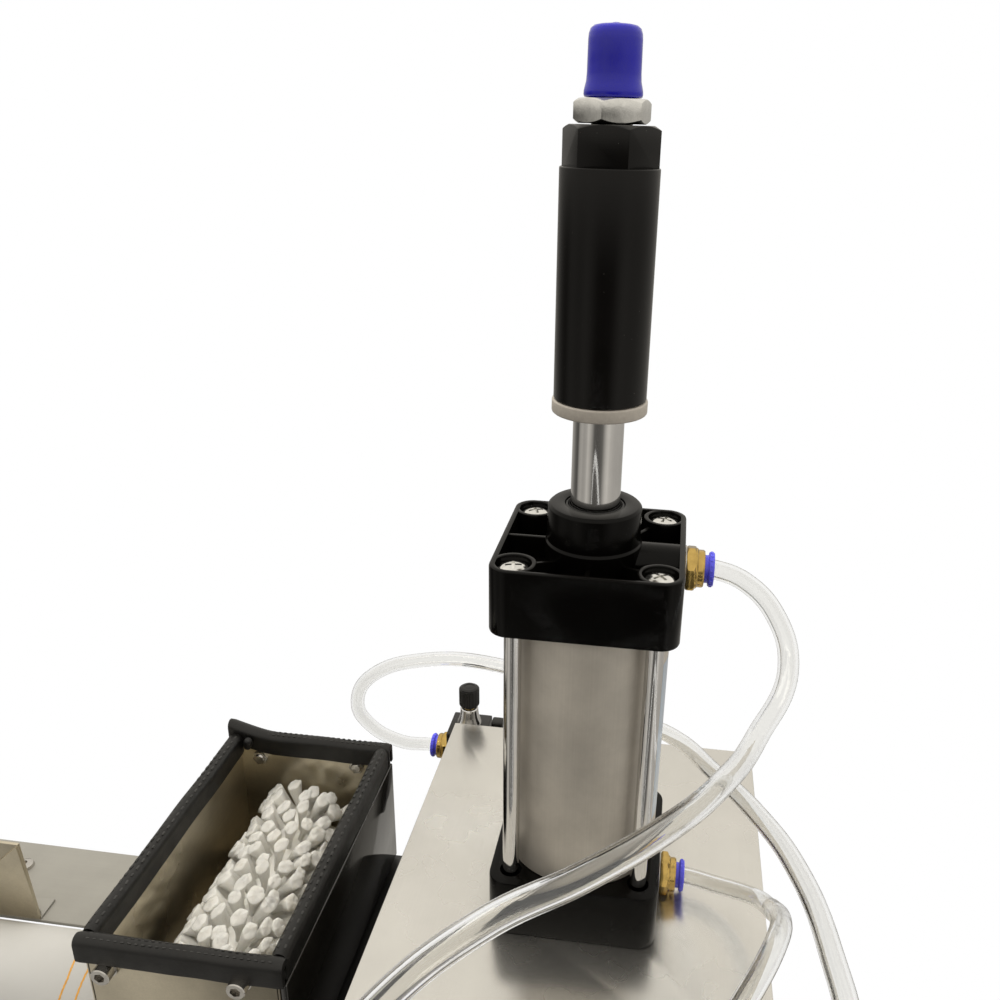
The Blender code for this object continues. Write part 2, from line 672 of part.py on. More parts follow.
def stroke_adjuster(axis, looks):
    """The stack on the rod's upper thread: bumper ring, adjusting sleeve, lock nut and cap."""
    clear = ROD_RADIUS + GAP
    thread = THREAD_RADIUS + GAP
    ring = turned(
        [
            (clear, 0),
            (BUMPER_RADIUS - 0.6 * MM, 0),
            (BUMPER_RADIUS, 0.6 * MM),
            (BUMPER_RADIUS, BUMPER_THICKNESS - 0.6 * MM),
            (BUMPER_RADIUS - 0.6 * MM, BUMPER_THICKNESS),
            (clear, BUMPER_THICKNESS),
        ],
        FINE,
    )
    piece("bumper_ring", ring, looks["bumper"], axis, (0, 0, BUMPER_LOW))

    top = SLEEVE_LENGTH + HEX_HEIGHT
    barrel = turned(
        [
            (0, 0),
            (SLEEVE_RADIUS, 0),
            (SLEEVE_RADIUS, SLEEVE_LENGTH - 0.8 * MM),
            (SLEEVE_RADIUS - 0.8 * MM, SLEEVE_LENGTH),
            (0, SLEEVE_LENGTH),
        ],
        FINE,
    )
    hexagon = turned(
        [
            (0, SLEEVE_LENGTH - 2 * MM),
            (HEX_RADIUS, SLEEVE_LENGTH - 2 * MM),
            (HEX_RADIUS, top - 1 * MM),
            (HEX_RADIUS - 2 * MM, top),
            (0, top),
        ],
        6,
    )
    bore = turned(
        [
            (0, -5 * MM),
            (clear, -5 * MM),
            (clear, SLEEVE_COUNTERBORE),
            (thread, SLEEVE_COUNTERBORE),
            (thread, top + 5 * MM),
            (0, top + 5 * MM),
        ],
        MEDIUM,
    )
    sleeve = carved(barrel, added=[hexagon], cut=[bore])
    piece("adjuster_sleeve", sleeve, looks["black"], axis, (0, 0, SLEEVE_LOW), (0, 0, HEX_TURN))

    nut_body = turned(
        [
            (0, 0),
            (NUT_RADIUS - 1.5 * MM, 0),
            (NUT_RADIUS, 0.9 * MM),
            (NUT_RADIUS, NUT_HEIGHT - 0.9 * MM),
            (NUT_RADIUS - 1.5 * MM, NUT_HEIGHT),
            (0, NUT_HEIGHT),
        ],
        6,
    )
    nut = carved(nut_body, cut=[rod(thread, -5 * MM, NUT_HEIGHT + 5 * MM, MEDIUM)])
    piece("lock_nut", nut, looks["zinc"], axis, (0, 0, NUT_LOW), (0, 0, NUT_TURN))

    crown = THREAD_CAP_HEIGHT
    outer = THREAD_CAP_RADIUS
    inner = THREAD_CAP_RADIUS - THREAD_CAP_WALL
    cap = turned(
        [
            (0, crown - THREAD_CAP_WALL),
            (inner, crown - THREAD_CAP_WALL),
            (inner, 0),
            (outer + THREAD_CAP_FLARE, 0),
            (outer + THREAD_CAP_FLARE, 1 * MM),
            (outer, 3.5 * MM),
            (outer, crown - 2 * MM),
            (outer - 0.7 * MM, crown - 0.6 * MM),
            (outer - 2.2 * MM, crown),
            (0, crown),
        ],
        MEDIUM,
    )
    piece("thread_cap", cap, looks["blue"], axis, (0, 0, THREAD_CAP_LOW))


# Air fittings and hoses


def fitting(port_radius, port_depth):
    """A push-in fitting: its seat at height 0, its thread below and its socket above."""
    thread = port_radius - GAP
    body = turned(
        [
            (0, GAP - port_depth),
            (thread, GAP - port_depth),
            (thread, GAP),
            (FITTING_BODY_RADIUS, GAP),
            (FITTING_BODY_RADIUS, FITTING_LENGTH - 0.8 * MM),
            (FITTING_BODY_RADIUS - 0.8 * MM, FITTING_LENGTH),
            (0, FITTING_LENGTH),
        ],
        COARSE,
    )
    hexagon = turned(
        [
            (0, FITTING_HEX_FROM),
            (FITTING_HEX_RADIUS, FITTING_HEX_FROM),
            (FITTING_HEX_RADIUS, FITTING_HEX_TO),
            (0, FITTING_HEX_TO),
        ],
        6,
    )
    bore = turned(
        [
            (0, -port_depth - 5 * MM),
            (FITTING_PASSAGE, -port_depth - 5 * MM),
            (FITTING_PASSAGE, FITTING_FLOOR),
            (FITTING_SOCKET_RADIUS, FITTING_FLOOR),
            (FITTING_SOCKET_RADIUS, FITTING_LENGTH + 5 * MM),
            (0, FITTING_LENGTH + 5 * MM),
        ],
        COARSE,
    )
    return carved(body, added=[hexagon], cut=[bore])


def collar():
    """The release collar that slides in a fitting's socket, around the hose."""
    inner = HOSE_RADIUS + HOSE_PLAY
    flange_low = FITTING_LENGTH + COLLAR_TRAVEL_GAP
    return turned(
        [
            (inner, flange_low - COLLAR_SLEEVE_LENGTH),
            (COLLAR_SLEEVE_RADIUS, flange_low - COLLAR_SLEEVE_LENGTH),
            (COLLAR_SLEEVE_RADIUS, flange_low),
            (COLLAR_FLANGE_RADIUS, flange_low),
            (COLLAR_FLANGE_RADIUS, flange_low + COLLAR_FLANGE),
            (inner, flange_low + COLLAR_FLANGE),
        ],
        COARSE,
    )


def air_fittings(deck, looks):
    """The push-in fittings on the cylinder's ports, the control valve and the air valve."""
    port_x = CAP_SIDE / 2
    large = fitting(PORT_RADIUS, PORT_DEPTH)
    small = fitting(SMALL_PORT_RADIUS, SMALL_PORT_DEPTH)
    ring = collar()
    control_x, control_y = control_valve_place()
    side = (control_x - CONTROL_VALVE_SIDE / 2, control_y, CONTROL_VALVE_TOP - CONTROL_PORT_DROP)
    fits = [
        ("upper", large, (port_x, 0, CYLINDER_TOP - PORT_INSET), (0, PI / 2, 0)),
        ("lower", large, (port_x, 0, CAP_LOW + PORT_INSET), (0, PI / 2, 0)),
        ("rear", small, side, (0, -PI / 2, 0)),
    ]
    for number, x in enumerate(air_port_places(), start=1):
        fits.append((f"valve_{number}", small, (x, AIR_PORT_Y, AIR_VALVE_TOP), (0, 0, 0)))
    for name, mesh, place, turn in fits:
        seat = empty(f"{name}_port", place, deck)
        seat.rotation_euler = turn
        piece(f"{name}_fitting", mesh.copy(), looks["brass"], seat)
        piece(f"{name}_collar", ring.copy(), looks["blue"], seat)


def smooth_route(points, spacing):
    """Evenly spaced points on a smooth curve through a route, whose two ends stay straight."""
    route = [Vector(point) * MM for point in points]
    dense = []
    for before, start, stop, after in zip(route, route[1:], route[2:], route[3:]):
        knots = [0.0]
        for one, two in ((before, start), (start, stop), (stop, after)):
            knots.append(knots[-1] + math.sqrt((two - one).length))
        t0, t1, t2, t3 = knots
        for step in range(12):
            t = t1 + (t2 - t1) * step / 12
            a1 = before.lerp(start, (t - t0) / (t1 - t0))
            a2 = start.lerp(stop, (t - t1) / (t2 - t1))
            a3 = stop.lerp(after, (t - t2) / (t3 - t2))
            b1 = a1.lerp(a2, (t - t0) / (t2 - t0))
            b2 = a2.lerp(a3, (t - t1) / (t3 - t1))
            dense.append(b1.lerp(b2, (t - t1) / (t2 - t1)))
    dense.append(route[-2])

    travelled = [0.0]
    for one, two in zip(dense, dense[1:]):
        travelled.append(travelled[-1] + (two - one).length)
    count = round(travelled[-1] / spacing)
    even = []
    place = 0
    for step in range(count + 1):
        target = travelled[-1] * step / count
        while place < len(dense) - 2 and travelled[place + 1] < target:
            place += 1
        share = (target - travelled[place]) / (travelled[place + 1] - travelled[place])
        even.append(dense[place].lerp(dense[place + 1], share))
    return [route[0], *even, route[-1]]


def hose(name, points, look, deck):
    """A round hose along a route, with closed ends."""
    curve = bpy.data.curves.new(name, "CURVE")
    curve.dimensions = "3D"
    curve.bevel_depth = HOSE_RADIUS
    curve.bevel_resolution = 2
    curve.use_fill_caps = True
    route = smooth_route(points, HOSE_SPACING)
    line = curve.splines.new("POLY")
    line.points.add(len(route) - 1)
    for point, place in zip(line.points, route):
        point.co = (*place, 1)
    curve.materials.append(look)
    made = bpy.data.objects.new(name, curve)
    made.parent = deck
    bpy.context.scene.collection.objects.link(made)


# Valves


def control_valve_place():
    """Where the control valve's axis stands, in plan."""
    x = -CABINET_WIDTH / 2 - CONTROL_VALVE_OVERHANG + CONTROL_VALVE_SIDE / 2
    y = CABINET_BACK + GAP + CONTROL_VALVE_SIDE / 2
    return x, y


def control_valve(deck, looks):
    """The speed control valve behind the cabinet: body, bonnet, stem and knob."""
    x, y = control_valve_place()
    body = prism(
        rounded_rectangle(CONTROL_VALVE_SIDE, CONTROL_VALVE_SIDE, 2 * MM, 3),
        CONTROL_VALVE_TOP - CONTROL_VALVE_HEIGHT,
        CONTROL_VALVE_TOP,
    )
    port = moved(
        rod(SMALL_PORT_RADIUS, CONTROL_VALVE_SIDE / 2 - SMALL_PORT_DEPTH, CONTROL_VALVE_SIDE, COARSE),
        (0, 0, CONTROL_VALVE_TOP - CONTROL_PORT_DROP),
        TOWARDS_MINUS_X,
    )
    piece("control_valve_body", carved(body, cut=[port]), looks["black"], deck, (x, y, 0))

    axis = empty("knob_axis", (x, y, CONTROL_VALVE_TOP), deck)
    bore = STEM_RADIUS + GAP
    bonnet = turned(
        [
            (bore, GAP),
            (BONNET_RADIUS, GAP),
            (BONNET_RADIUS, BONNET_HEIGHT * 0.35),
            (BONNET_TOP_RADIUS, BONNET_HEIGHT),
            (bore, BONNET_HEIGHT),
        ],
        MEDIUM,
    )
    piece("valve_bonnet", bonnet, looks["chrome"], axis)
    knob_low = BONNET_HEIGHT + 1.7 * MM
    stem = rod(STEM_RADIUS, 2 * GAP, knob_low + KNOB_SOCKET, COARSE, chamfer=0.4 * MM)
    piece("knob_stem", stem, looks["brass"], axis)
    knob = turned(
        [
            (0, KNOB_SOCKET + GAP),
            (bore, KNOB_SOCKET + GAP),
            (bore, 0),
            (KNOB_RADIUS - 0.8 * MM, 0),
            (KNOB_RADIUS, 0.8 * MM),
            (KNOB_RADIUS, KNOB_HEIGHT - 1 * MM),
            (KNOB_RADIUS - 1 * MM, KNOB_HEIGHT),
            (0, KNOB_HEIGHT),
        ],
        MEDIUM,
    )
    piece("control_knob", knob, looks["black"], axis, (0, 0, knob_low))


def air_port_places():
    """The X places of the air valve's ports."""
    return [AIR_VALVE_CENTRE_X + step * AIR_PORT_PITCH for step in (-1, 0, 1)]


def air_valve(deck, looks):
    """The directional valve on the front panel, with its ports on top."""
    back = CABINET_FRONT - GAP
    outline = rounded_rectangle(AIR_VALVE_LENGTH, AIR_VALVE_DEPTH, 3 * MM, 3)
    body = moved(
        prism(outline, AIR_VALVE_TOP - AIR_VALVE_HEIGHT, AIR_VALVE_TOP),
        (AIR_VALVE_CENTRE_X, back - AIR_VALVE_DEPTH / 2, 0),
    )
    ports = [
        moved(
            rod(SMALL_PORT_RADIUS, AIR_VALVE_TOP - SMALL_PORT_DEPTH, AIR_VALVE_TOP + 5 * MM, COARSE),
            (x, AIR_PORT_Y, 0),
        )
        for x in air_port_places()
    ]
    piece("directional_valve", carved(body, cut=ports), looks["aluminium"], deck)


# Metering pump


def metering_pump(deck, looks):
    """The fixed pieces of the metering pump under the top plate."""
    flange_low = FLANGE_TOP - FLANGE_THICKNESS
    half = CAP_SIDE / 2
    flange = box((-half, -half, flange_low), (half, half, FLANGE_TOP))
    studs = tie_places(lambda: rod(TIE_ROD_RADIUS, flange_low + 2 * MM, 6 * MM - GAP, COARSE))
    boss_bore = rod(BOSS_RADIUS + GAP, CAP_LOW - BOSS_HEIGHT - GAP, 10 * MM, MEDIUM)
    rod_bore = rod(ROD_RADIUS + ROD_PLAY, flange_low - 10 * MM, 10 * MM, MEDIUM)
    adapter = carved(flange, added=studs, cut=[boss_bore, rod_bore])
    piece("adapter_flange", adapter, looks["steel"], deck)

    barrel = tube(METERING_BORE, METERING_BORE + METERING_WALL, TUBE_TOP - METERING_LENGTH, TUBE_TOP, FINE)
    piece("metering_cylinder", barrel, looks["steel"], deck)

    side = BLOCK_SIDE / 2
    block = box((-side, -side, BLOCK_TOP - BLOCK_HEIGHT), (side, side, BLOCK_TOP))
    throat = rod(THROAT_RADIUS, PIPE_Z + 1 * MM, BLOCK_TOP + 10 * MM, MEDIUM)
    web = CHAMBER_RADIUS + SEAT_WEB
    through = turned(
        [
            (0, -side - 10 * MM),
            (CHAMBER_RADIUS, -side - 10 * MM),
            (CHAMBER_RADIUS, -web),
            (SEAT_RADIUS, -web),
            (SEAT_RADIUS, -CHAMBER_RADIUS),
            (CHAMBER_RADIUS, -CHAMBER_RADIUS),
            (CHAMBER_RADIUS, side + 10 * MM),
            (0, side + 10 * MM),
        ],
        COARSE,
    )
    through = moved(through, (0, 0, PIPE_Z), TOWARDS_Y)
    piece("metering_block", carved(block, cut=[throat, through]), looks["steel"], deck)

    inlet_axis = empty("inlet_axis", (0, 0, PIPE_Z), deck)
    inlet_axis.rotation_euler = (-PI / 2, 0, 0)
    pipe("inlet_pipe", side, CABINET_BACK + INLET_REACH, inlet_axis, looks["steel"])
    poppet("inlet_poppet", side - INSERT_LENGTH - GAP - POPPET_THICKNESS, inlet_axis, looks["steel"])

    outlet_axis = empty("outlet_axis", (0, 0, PIPE_Z), deck)
    outlet_axis.rotation_euler = (PI / 2, 0, 0)
    pipe("outlet_pipe", side, OUTLET_REACH - CABINET_FRONT, outlet_axis, looks["steel"])
    poppet("outlet_poppet", CHAMBER_RADIUS + SEAT_WEB + GAP, outlet_axis, looks["steel"])


def pipe(name, block_face, reach, axis, look):
    """A pipe screwed into the block, with a flange at the block and a ferrule at its far end."""
    insert = CHAMBER_RADIUS - GAP
    profile = [
        (PIPE_BORE, block_face - INSERT_LENGTH),
        (insert, block_face - INSERT_LENGTH),
        (insert, block_face + GAP),
        (PIPE_FLANGE_RADIUS, block_face + GAP),
        (PIPE_FLANGE_RADIUS, block_face + GAP + PIPE_FLANGE_THICKNESS),
        (PIPE_RADIUS, block_face + GAP + PIPE_FLANGE_THICKNESS),
        (PIPE_RADIUS, reach - 3 * FERRULE_THICKNESS),
        (FERRULE_RADIUS, reach - FERRULE_THICKNESS),
        (FERRULE_RADIUS, reach),
        (PIPE_BORE, reach),
    ]
    piece(name, turned(profile, MEDIUM), look, axis)


def poppet(name, low, axis, look):
    """A check valve's disc, with its guide stem towards the pipe."""
    top = low + POPPET_THICKNESS
    profile = [
        (0, low),
        (POPPET_RADIUS, low),
        (POPPET_RADIUS, top),
        (POPPET_STEM_RADIUS, top),
        (POPPET_STEM_RADIUS, top + POPPET_STEM_LENGTH),
        (0, top + POPPET_STEM_LENGTH),
    ]
    piece(name, turned(profile, COARSE), look, axis)


# Brush trough


def frame_outline(grow):
    """The lowest and highest corners of the trough in plan, grown outwards."""
    return (
        (TROUGH_OUTER_X - grow, TROUGH_FRONT - grow),
        (TROUGH_INNER_X + grow, TROUGH_BACK + grow),
    )


def frame_block(grow, low, high):
    """A box over the trough's plan, grown outwards."""
    (x0, y0), (x1, y1) = frame_outline(grow)
    return box((x0, y0, low), (x1, y1, high))


def brush_trough(deck, looks):
    """The open trough, its edge trim, cover and bracket, and the brush that turns in it."""
    rim = TROUGH_RIM
    bottom = rim - TROUGH_DEPTH
    shaft_hole = moved(
        rod(SHAFT_RADIUS + GAP, -TROUGH_LENGTH, TROUGH_LENGTH, COARSE),
        (TROUGH_CENTRE_X, TROUGH_CENTRE_Y, BRUSH_AXIS_Z),
        TOWARDS_Y,
    )
    stub_hole = moved(
        rod(SHAFT_RADIUS + GAP, -10 * MM, 10 * MM, COARSE),
        (TROUGH_OUTER_X, BELT_AXIS_Y, BELT_AXIS_Z),
        TOWARDS_X,
    )
    inside = frame_block(-SHEET, bottom + SHEET, rim + 10 * MM)
    trough = carved(frame_block(0, bottom, rim), cut=[inside, shaft_hole, stub_hole])
    piece("brush_trough", trough, looks["steel"], deck)

    low = rim - TRIM_HEIGHT + TRIM_THICKNESS
    high = rim + TRIM_THICKNESS
    window = frame_block(-SHEET - TRIM_THICKNESS, low - 5 * MM, high + 5 * MM)
    sides = frame_block(GAP, low - 5 * MM, rim + GAP)
    core = frame_block(-SHEET - GAP, low - 6 * MM, high + 6 * MM)
    groove = carved(sides, cut=[core])
    trim = carved(frame_block(TRIM_THICKNESS, low, high), cut=[window, groove])
    piece("trough_trim", trim, looks["rubber"], deck)

    cover = box(
        (TROUGH_INNER_X + GAP, TROUGH_FRONT, COVER_BOTTOM),
        (TROUGH_INNER_X + GAP + COVER_THICKNESS, TROUGH_BACK, COVER_TOP),
    )
    piece("trough_cover", cover, looks["black"], deck)

    cabinet_side = -CABINET_WIDTH / 2 - GAP
    outer = TROUGH_INNER_X + GAP
    outline = [
        (outer, BRACKET_TOP - BRACKET_DROP / 3),
        (outer + BRACKET_SHEET, BRACKET_TOP - BRACKET_DROP / 3),
        (outer + BRACKET_SHEET, BRACKET_TOP - BRACKET_SHEET),
        (cabinet_side - BRACKET_SHEET, BRACKET_TOP - BRACKET_SHEET),
        (cabinet_side - BRACKET_SHEET, BRACKET_TOP - BRACKET_DROP),
        (cabinet_side, BRACKET_TOP - BRACKET_DROP),
        (cabinet_side, BRACKET_TOP),
        (outer, BRACKET_TOP),
    ]
    bracket = moved(
        prism([(x, -z) for x, z in outline], TROUGH_FRONT, TROUGH_BACK), turn=TOWARDS_Y
    )
    piece("trough_bracket", bracket, looks["black"], deck)

    brush_axis = empty("brush_axis", (TROUGH_CENTRE_X, 0, BRUSH_AXIS_Z), deck)
    brush_axis.rotation_euler = (-PI / 2, 0, 0)
    brush = turned(
        [
            (0, TROUGH_FRONT - SHAFT_STAND_OUT),
            (SHAFT_RADIUS, TROUGH_FRONT - SHAFT_STAND_OUT),
            (SHAFT_RADIUS, BRUSH_FROM),
            (BRUSH_RADIUS, BRUSH_FROM),
            (BRUSH_RADIUS, BRUSH_TO),
            (SHAFT_RADIUS, BRUSH_TO),
            (SHAFT_RADIUS, TROUGH_BACK + SHAFT_STAND_OUT),
            (0, TROUGH_BACK + SHAFT_STAND_OUT),
        ],
        MEDIUM,
    )
    piece("brush_roller", brush, looks["nylon"], brush_axis)


def side_deck(deck, looks):
    """The deck plate beside the trough, and the belt roller in front of it."""
    wall = TROUGH_OUTER_X - GAP
    far = wall - DECK_LENGTH
    outline = [
        (far, DECK_TOP),
        (wall, DECK_TOP),
        (wall, DECK_TOP - DECK_FLANGE),
        (wall - SHEET, DECK_TOP - DECK_FLANGE),
        (wall - SHEET, DECK_TOP - SHEET),
        (far, DECK_TOP - SHEET),
    ]
    plate = moved(prism([(x, -z) for x, z in outline], DECK_FRONT, DECK_BACK), turn=TOWARDS_Y)
    piece("side_deck", plate, looks["plate"], deck)

    belt_axis = empty("belt_axis", (TROUGH_OUTER_X, BELT_AXIS_Y, BELT_AXIS_Z), deck)
    belt_axis.rotation_euler = (0, -PI / 2, 0)
    roller = turned(
        [
            (0, -SHEET - 2 * MM),
            (SHAFT_RADIUS, -SHEET - 2 * MM),
            (SHAFT_RADIUS, BELT_GAP),
            (BELT_RADIUS - 2 * MM, BELT_GAP),
            (BELT_RADIUS, BELT_GAP + 2 * MM),
            (BELT_RADIUS, BELT_GAP + BELT_LENGTH - 2 * MM),
            (BELT_RADIUS - 2 * MM, BELT_GAP + BELT_LENGTH),
            (0, BELT_GAP + BELT_LENGTH),
        ],
        FINE,
    )
    piece("belt_roller", roller, looks["nylon"], belt_axis)


def main():
    for old in list(bpy.data.objects):
        bpy.data.objects.remove(old)
    looks = {
        "steel": material("stainless_steel", (0.60, 0.59, 0.57), 0.35, 1.0),
        "plate": material("brushed_plate", (0.68, 0.66, 0.63), 0.3, 1.0),
        "aluminium": material("anodised_aluminium", (0.55, 0.53, 0.50), 0.4, 1.0),
        "chrome": material("chrome", (0.80, 0.80, 0.80), 0.08, 1.0),
        "zinc": material("zinc_plate", (0.72, 0.72, 0.70), 0.25, 1.0),
        "brass": material("brass", (0.75, 0.55, 0.25), 0.25, 1.0),
        "black": material("black_anodise", (0.012, 0.012, 0.012), 0.35),
        "rubber": material("black_rubber", (0.02, 0.02, 0.02), 0.7),
        "bumper": material("bumper_rubber", (0.32, 0.29, 0.26), 0.6),
        "blue": material("blue_plastic", (0.02, 0.02, 0.45), 0.3),
        "nylon": material("white_nylon", (0.85, 0.84, 0.82), 0.5),
        "hose": material("clear_hose", (0.85, 0.85, 0.84), 0.1),
    }
    deck = empty("deck_centre", (0, 0, CABINET_HEIGHT))
    stroke_axis = empty("stroke_axis", (0, 0, 0), deck)
    cabinet(deck, looks)
    drive_cylinder(deck, looks)
    moving_rod(stroke_axis, looks)
    stroke_adjuster(stroke_axis, looks)
    air_fittings(deck, looks)
    control_valve(deck, looks)
    air_valve(deck, looks)
    metering_pump(deck, looks)
    brush_trough(deck, looks)
    side_deck(deck, looks)
    hose("hose_upper", HOSE_UPPER_ROUTE, looks["hose"], deck)
    hose("hose_lower", HOSE_LOWER_ROUTE, looks["hose"], deck)
    hose("hose_supply", HOSE_SUPPLY_ROUTE, looks["hose"], deck)


main()
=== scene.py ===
"""Visual model of a piston liquid filler: drive cylinder, stroke adjuster, hoses and brush trough.

Each sub-assembly is a class that holds its own sizes, builds its meshes and dresses them. Places
come from the boxes of the CAD nodes, in metres, with +Z up and the operator at -Y.
"""

import logging
import math
import random
from dataclasses import dataclass, field
from enum import Enum
from typing import Iterable, Sequence

import bmesh
import bpy
from mathutils import Matrix, Vector, noise


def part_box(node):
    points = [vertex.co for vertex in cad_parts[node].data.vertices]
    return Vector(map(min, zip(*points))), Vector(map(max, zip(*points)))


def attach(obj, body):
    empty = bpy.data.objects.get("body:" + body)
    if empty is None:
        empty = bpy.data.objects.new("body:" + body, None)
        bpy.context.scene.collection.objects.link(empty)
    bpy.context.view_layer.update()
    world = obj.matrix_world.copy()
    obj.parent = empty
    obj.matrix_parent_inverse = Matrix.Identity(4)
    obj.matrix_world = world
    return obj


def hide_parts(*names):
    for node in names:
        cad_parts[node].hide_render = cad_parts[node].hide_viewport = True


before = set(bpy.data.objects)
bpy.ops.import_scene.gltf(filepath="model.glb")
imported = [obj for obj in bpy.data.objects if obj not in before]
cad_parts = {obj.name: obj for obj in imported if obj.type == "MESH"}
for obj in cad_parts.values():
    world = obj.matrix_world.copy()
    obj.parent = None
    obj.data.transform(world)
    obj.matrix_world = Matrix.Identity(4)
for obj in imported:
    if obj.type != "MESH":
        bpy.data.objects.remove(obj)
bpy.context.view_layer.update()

log = logging.getLogger("filler")

MM = 0.001
PI = math.pi
DECK = 0.25  # upper face of the top plate above the base plate's underside

Point2 = tuple[float, float]
Point3 = tuple[float, float, float]
Colour = tuple[float, float, float]


# Names shared with the record


class Body(Enum):
    """The rigid bodies that pieces ride on."""

    FRAME = "frame"
    ROD = "rod"
    BUMPER = "bumper"
    ADJUSTER = "adjuster"
    THREAD_CAP = "thread_cap"
    NEEDLE = "needle"
    KNOB = "knob"
    INLET_CHECK = "inlet_check"
    OUTLET_CHECK = "outlet_check"
    BRUSH = "brush"
    BELT = "belt"


class Slot(Enum):
    """The record's material slots."""

    STAINLESS = "stainless_steel"
    PLATE = "brushed_plate"
    ALUMINIUM = "anodised_aluminium"
    CHROME = "chrome"
    ZINC = "zinc_plate"
    BRASS = "brass"
    BLACK_METAL = "black_anodise"
    BLACK_PLASTIC = "black_plastic"
    RUBBER = "black_rubber"
    BUMPER = "bumper_rubber"
    BLUE = "blue_plastic"
    NYLON = "white_nylon"
    HOSE = "clear_hose"


class Grain(Enum):
    """The direction in which a metal's brushed or drawn lines run."""

    NONE = (1.0, 1.0, 1.0)
    ALONG_X = (0.012, 1.0, 1.0)
    ALONG_Y = (1.0, 0.012, 1.0)
    ALONG_Z = (1.0, 1.0, 0.012)
    AROUND_Z = (0.03, 0.03, 1.0)


# Node trees


class Tree:
    """A material's node tree, with short ways to add and join nodes."""

    def __init__(self, name: str) -> None:
        """Start a material with an empty tree and its output.

        Args:
            name: The material's name.
        """
        self.material = bpy.data.materials.new(name)
        self.material.use_nodes = True
        self.nodes = self.material.node_tree.nodes
        self.links = self.material.node_tree.links
        self.nodes.clear()
        self.output = self.nodes.new("ShaderNodeOutputMaterial")
        self._place: bpy.types.NodeSocket | None = None

    def add(self, kind: str, settings: dict | None = None, **inputs: object) -> bpy.types.Node:
        """Add a node and fill its inputs.

        Args:
            kind: The node's type name.
            settings: Attributes of the node itself.
            **inputs: Input sockets by name, with underscores for spaces: a socket or a value.

        Returns:
            The node.
        """
        node = self.nodes.new(kind)
        for key, value in (settings or {}).items():
            setattr(node, key, value)
        for key, value in inputs.items():
            self.feed(node.inputs[key.replace("_", " ")], value)
        return node

    def feed(self, socket: bpy.types.NodeSocket, value: object) -> None:
        """Link a socket to an input, or write a value into it.

        Args:
            socket: The input socket.
            value: An output socket, or a number, vector or colour.
        """
        if isinstance(value, bpy.types.NodeSocket):
            self.links.new(value, socket)
        else:
            socket.default_value = value

    @property
    def place(self) -> bpy.types.NodeSocket:
        """Object coordinates, in metres."""
        if self._place is None:
            self._place = self.add("ShaderNodeTexCoord").outputs["Object"]
        return self._place

    def stretched(self, scale: Point3, offset: Point3 = (0, 0, 0)) -> bpy.types.NodeSocket:
        """Object coordinates scaled along each axis.

        Args:
            scale: The factor for each axis.
            offset: A shift of the pattern.

        Returns:
            The vector socket.
        """
        mapping = self.add("ShaderNodeMapping", Vector=self.place, Scale=scale, Location=offset)
        return mapping.outputs["Vector"]

    def noise(
        self, scale: float, detail: float = 3.0, rough: float = 0.55, stretch: Point3 = (1, 1, 1)
    ) -> bpy.types.NodeSocket:
        """A noise pattern on Object coordinates.

        Args:
            scale: Features per metre.
            detail: The number of octaves.
            rough: How strong the finer octaves are.
            stretch: The factor for each axis.

        Returns:
            The factor socket, around one half.
        """
        vector = self.place if stretch == (1, 1, 1) else self.stretched(stretch)
        node = self.add(
            "ShaderNodeTexNoise", Vector=vector, Scale=scale, Detail=detail, Roughness=rough
        )
        return node.outputs["Fac"]

    def specks(self, scale: float, size: float) -> bpy.types.NodeSocket:
        """Small separate spots.

        Args:
            scale: Cells per metre.
            size: The spots' radius, as a share of a cell.

        Returns:
            A factor that is 1 in a spot and 0 between spots.
        """
        cells = self.add("ShaderNodeTexVoronoi", Vector=self.place, Scale=scale, Randomness=1.0)
        return self.span(cells.outputs["Distance"], size, size * 0.6, 0.0, 1.0)

    def span(
        self,
        value: bpy.types.NodeSocket,
        low: float,
        high: float,
        to_low: float,
        to_high: float,
    ) -> bpy.types.NodeSocket:
        """Map one range to another, and hold it at the ends.

        Args:
            value: The input.
            low: The input's low end.
            high: The input's high end.
            to_low: The output at the low end.
            to_high: The output at the high end.

        Returns:
            The mapped value.
        """
        node = self.add("ShaderNodeMapRange", Value=value)
        for name, number in (
            ("From Min", low),
            ("From Max", high),
            ("To Min", to_low),
            ("To Max", to_high),
        ):
            node.inputs[name].default_value = number
        return node.outputs["Result"]

    def maths(self, operation: str, one: object, two: object = 0.0) -> bpy.types.NodeSocket:
        """Combine two values.

        Args:
            operation: The Math node's operation.
            one: The first value or socket.
            two: The second value or socket.

        Returns:
            The result.
        """
        node = self.add("ShaderNodeMath", {"operation": operation})
        self.feed(node.inputs[0], one)
        self.feed(node.inputs[1], two)
        return node.outputs[0]

    def mix(self, factor: object, one: object, two: object) -> bpy.types.NodeSocket:
        """Mix two colours.

        Args:
            factor: How much of the second.
            one: The first colour, as three numbers or a socket.
            two: The second colour, as three numbers or a socket.

        Returns:
            The mixed colour.
        """
        node = self.add("ShaderNodeMix", {"data_type": "RGBA"})
        self.feed(node.inputs[0], factor)
        for socket, colour in ((node.inputs[6], one), (node.inputs[7], two)):
            self.feed(socket, (*colour, 1.0) if isinstance(colour, tuple) else colour)
        return node.outputs[2]

    def bump(
        self,
        height: bpy.types.NodeSocket,
        strength: float,
        depth: float,
        below: bpy.types.NodeSocket | None = None,
    ) -> bpy.types.NodeSocket:
        """Turn a height into a normal.

        Args:
            height: The height, from 0 to 1.
            strength: The share of the bump that is used.
            depth: The height's real depth in metres.
            below: A normal to add this bump to.

        Returns:
            The normal.
        """
        node = self.add("ShaderNodeBump", Height=height, Strength=strength, Distance=depth)
        if below is not None:
            self.feed(node.inputs["Normal"], below)
        return node.outputs["Normal"]

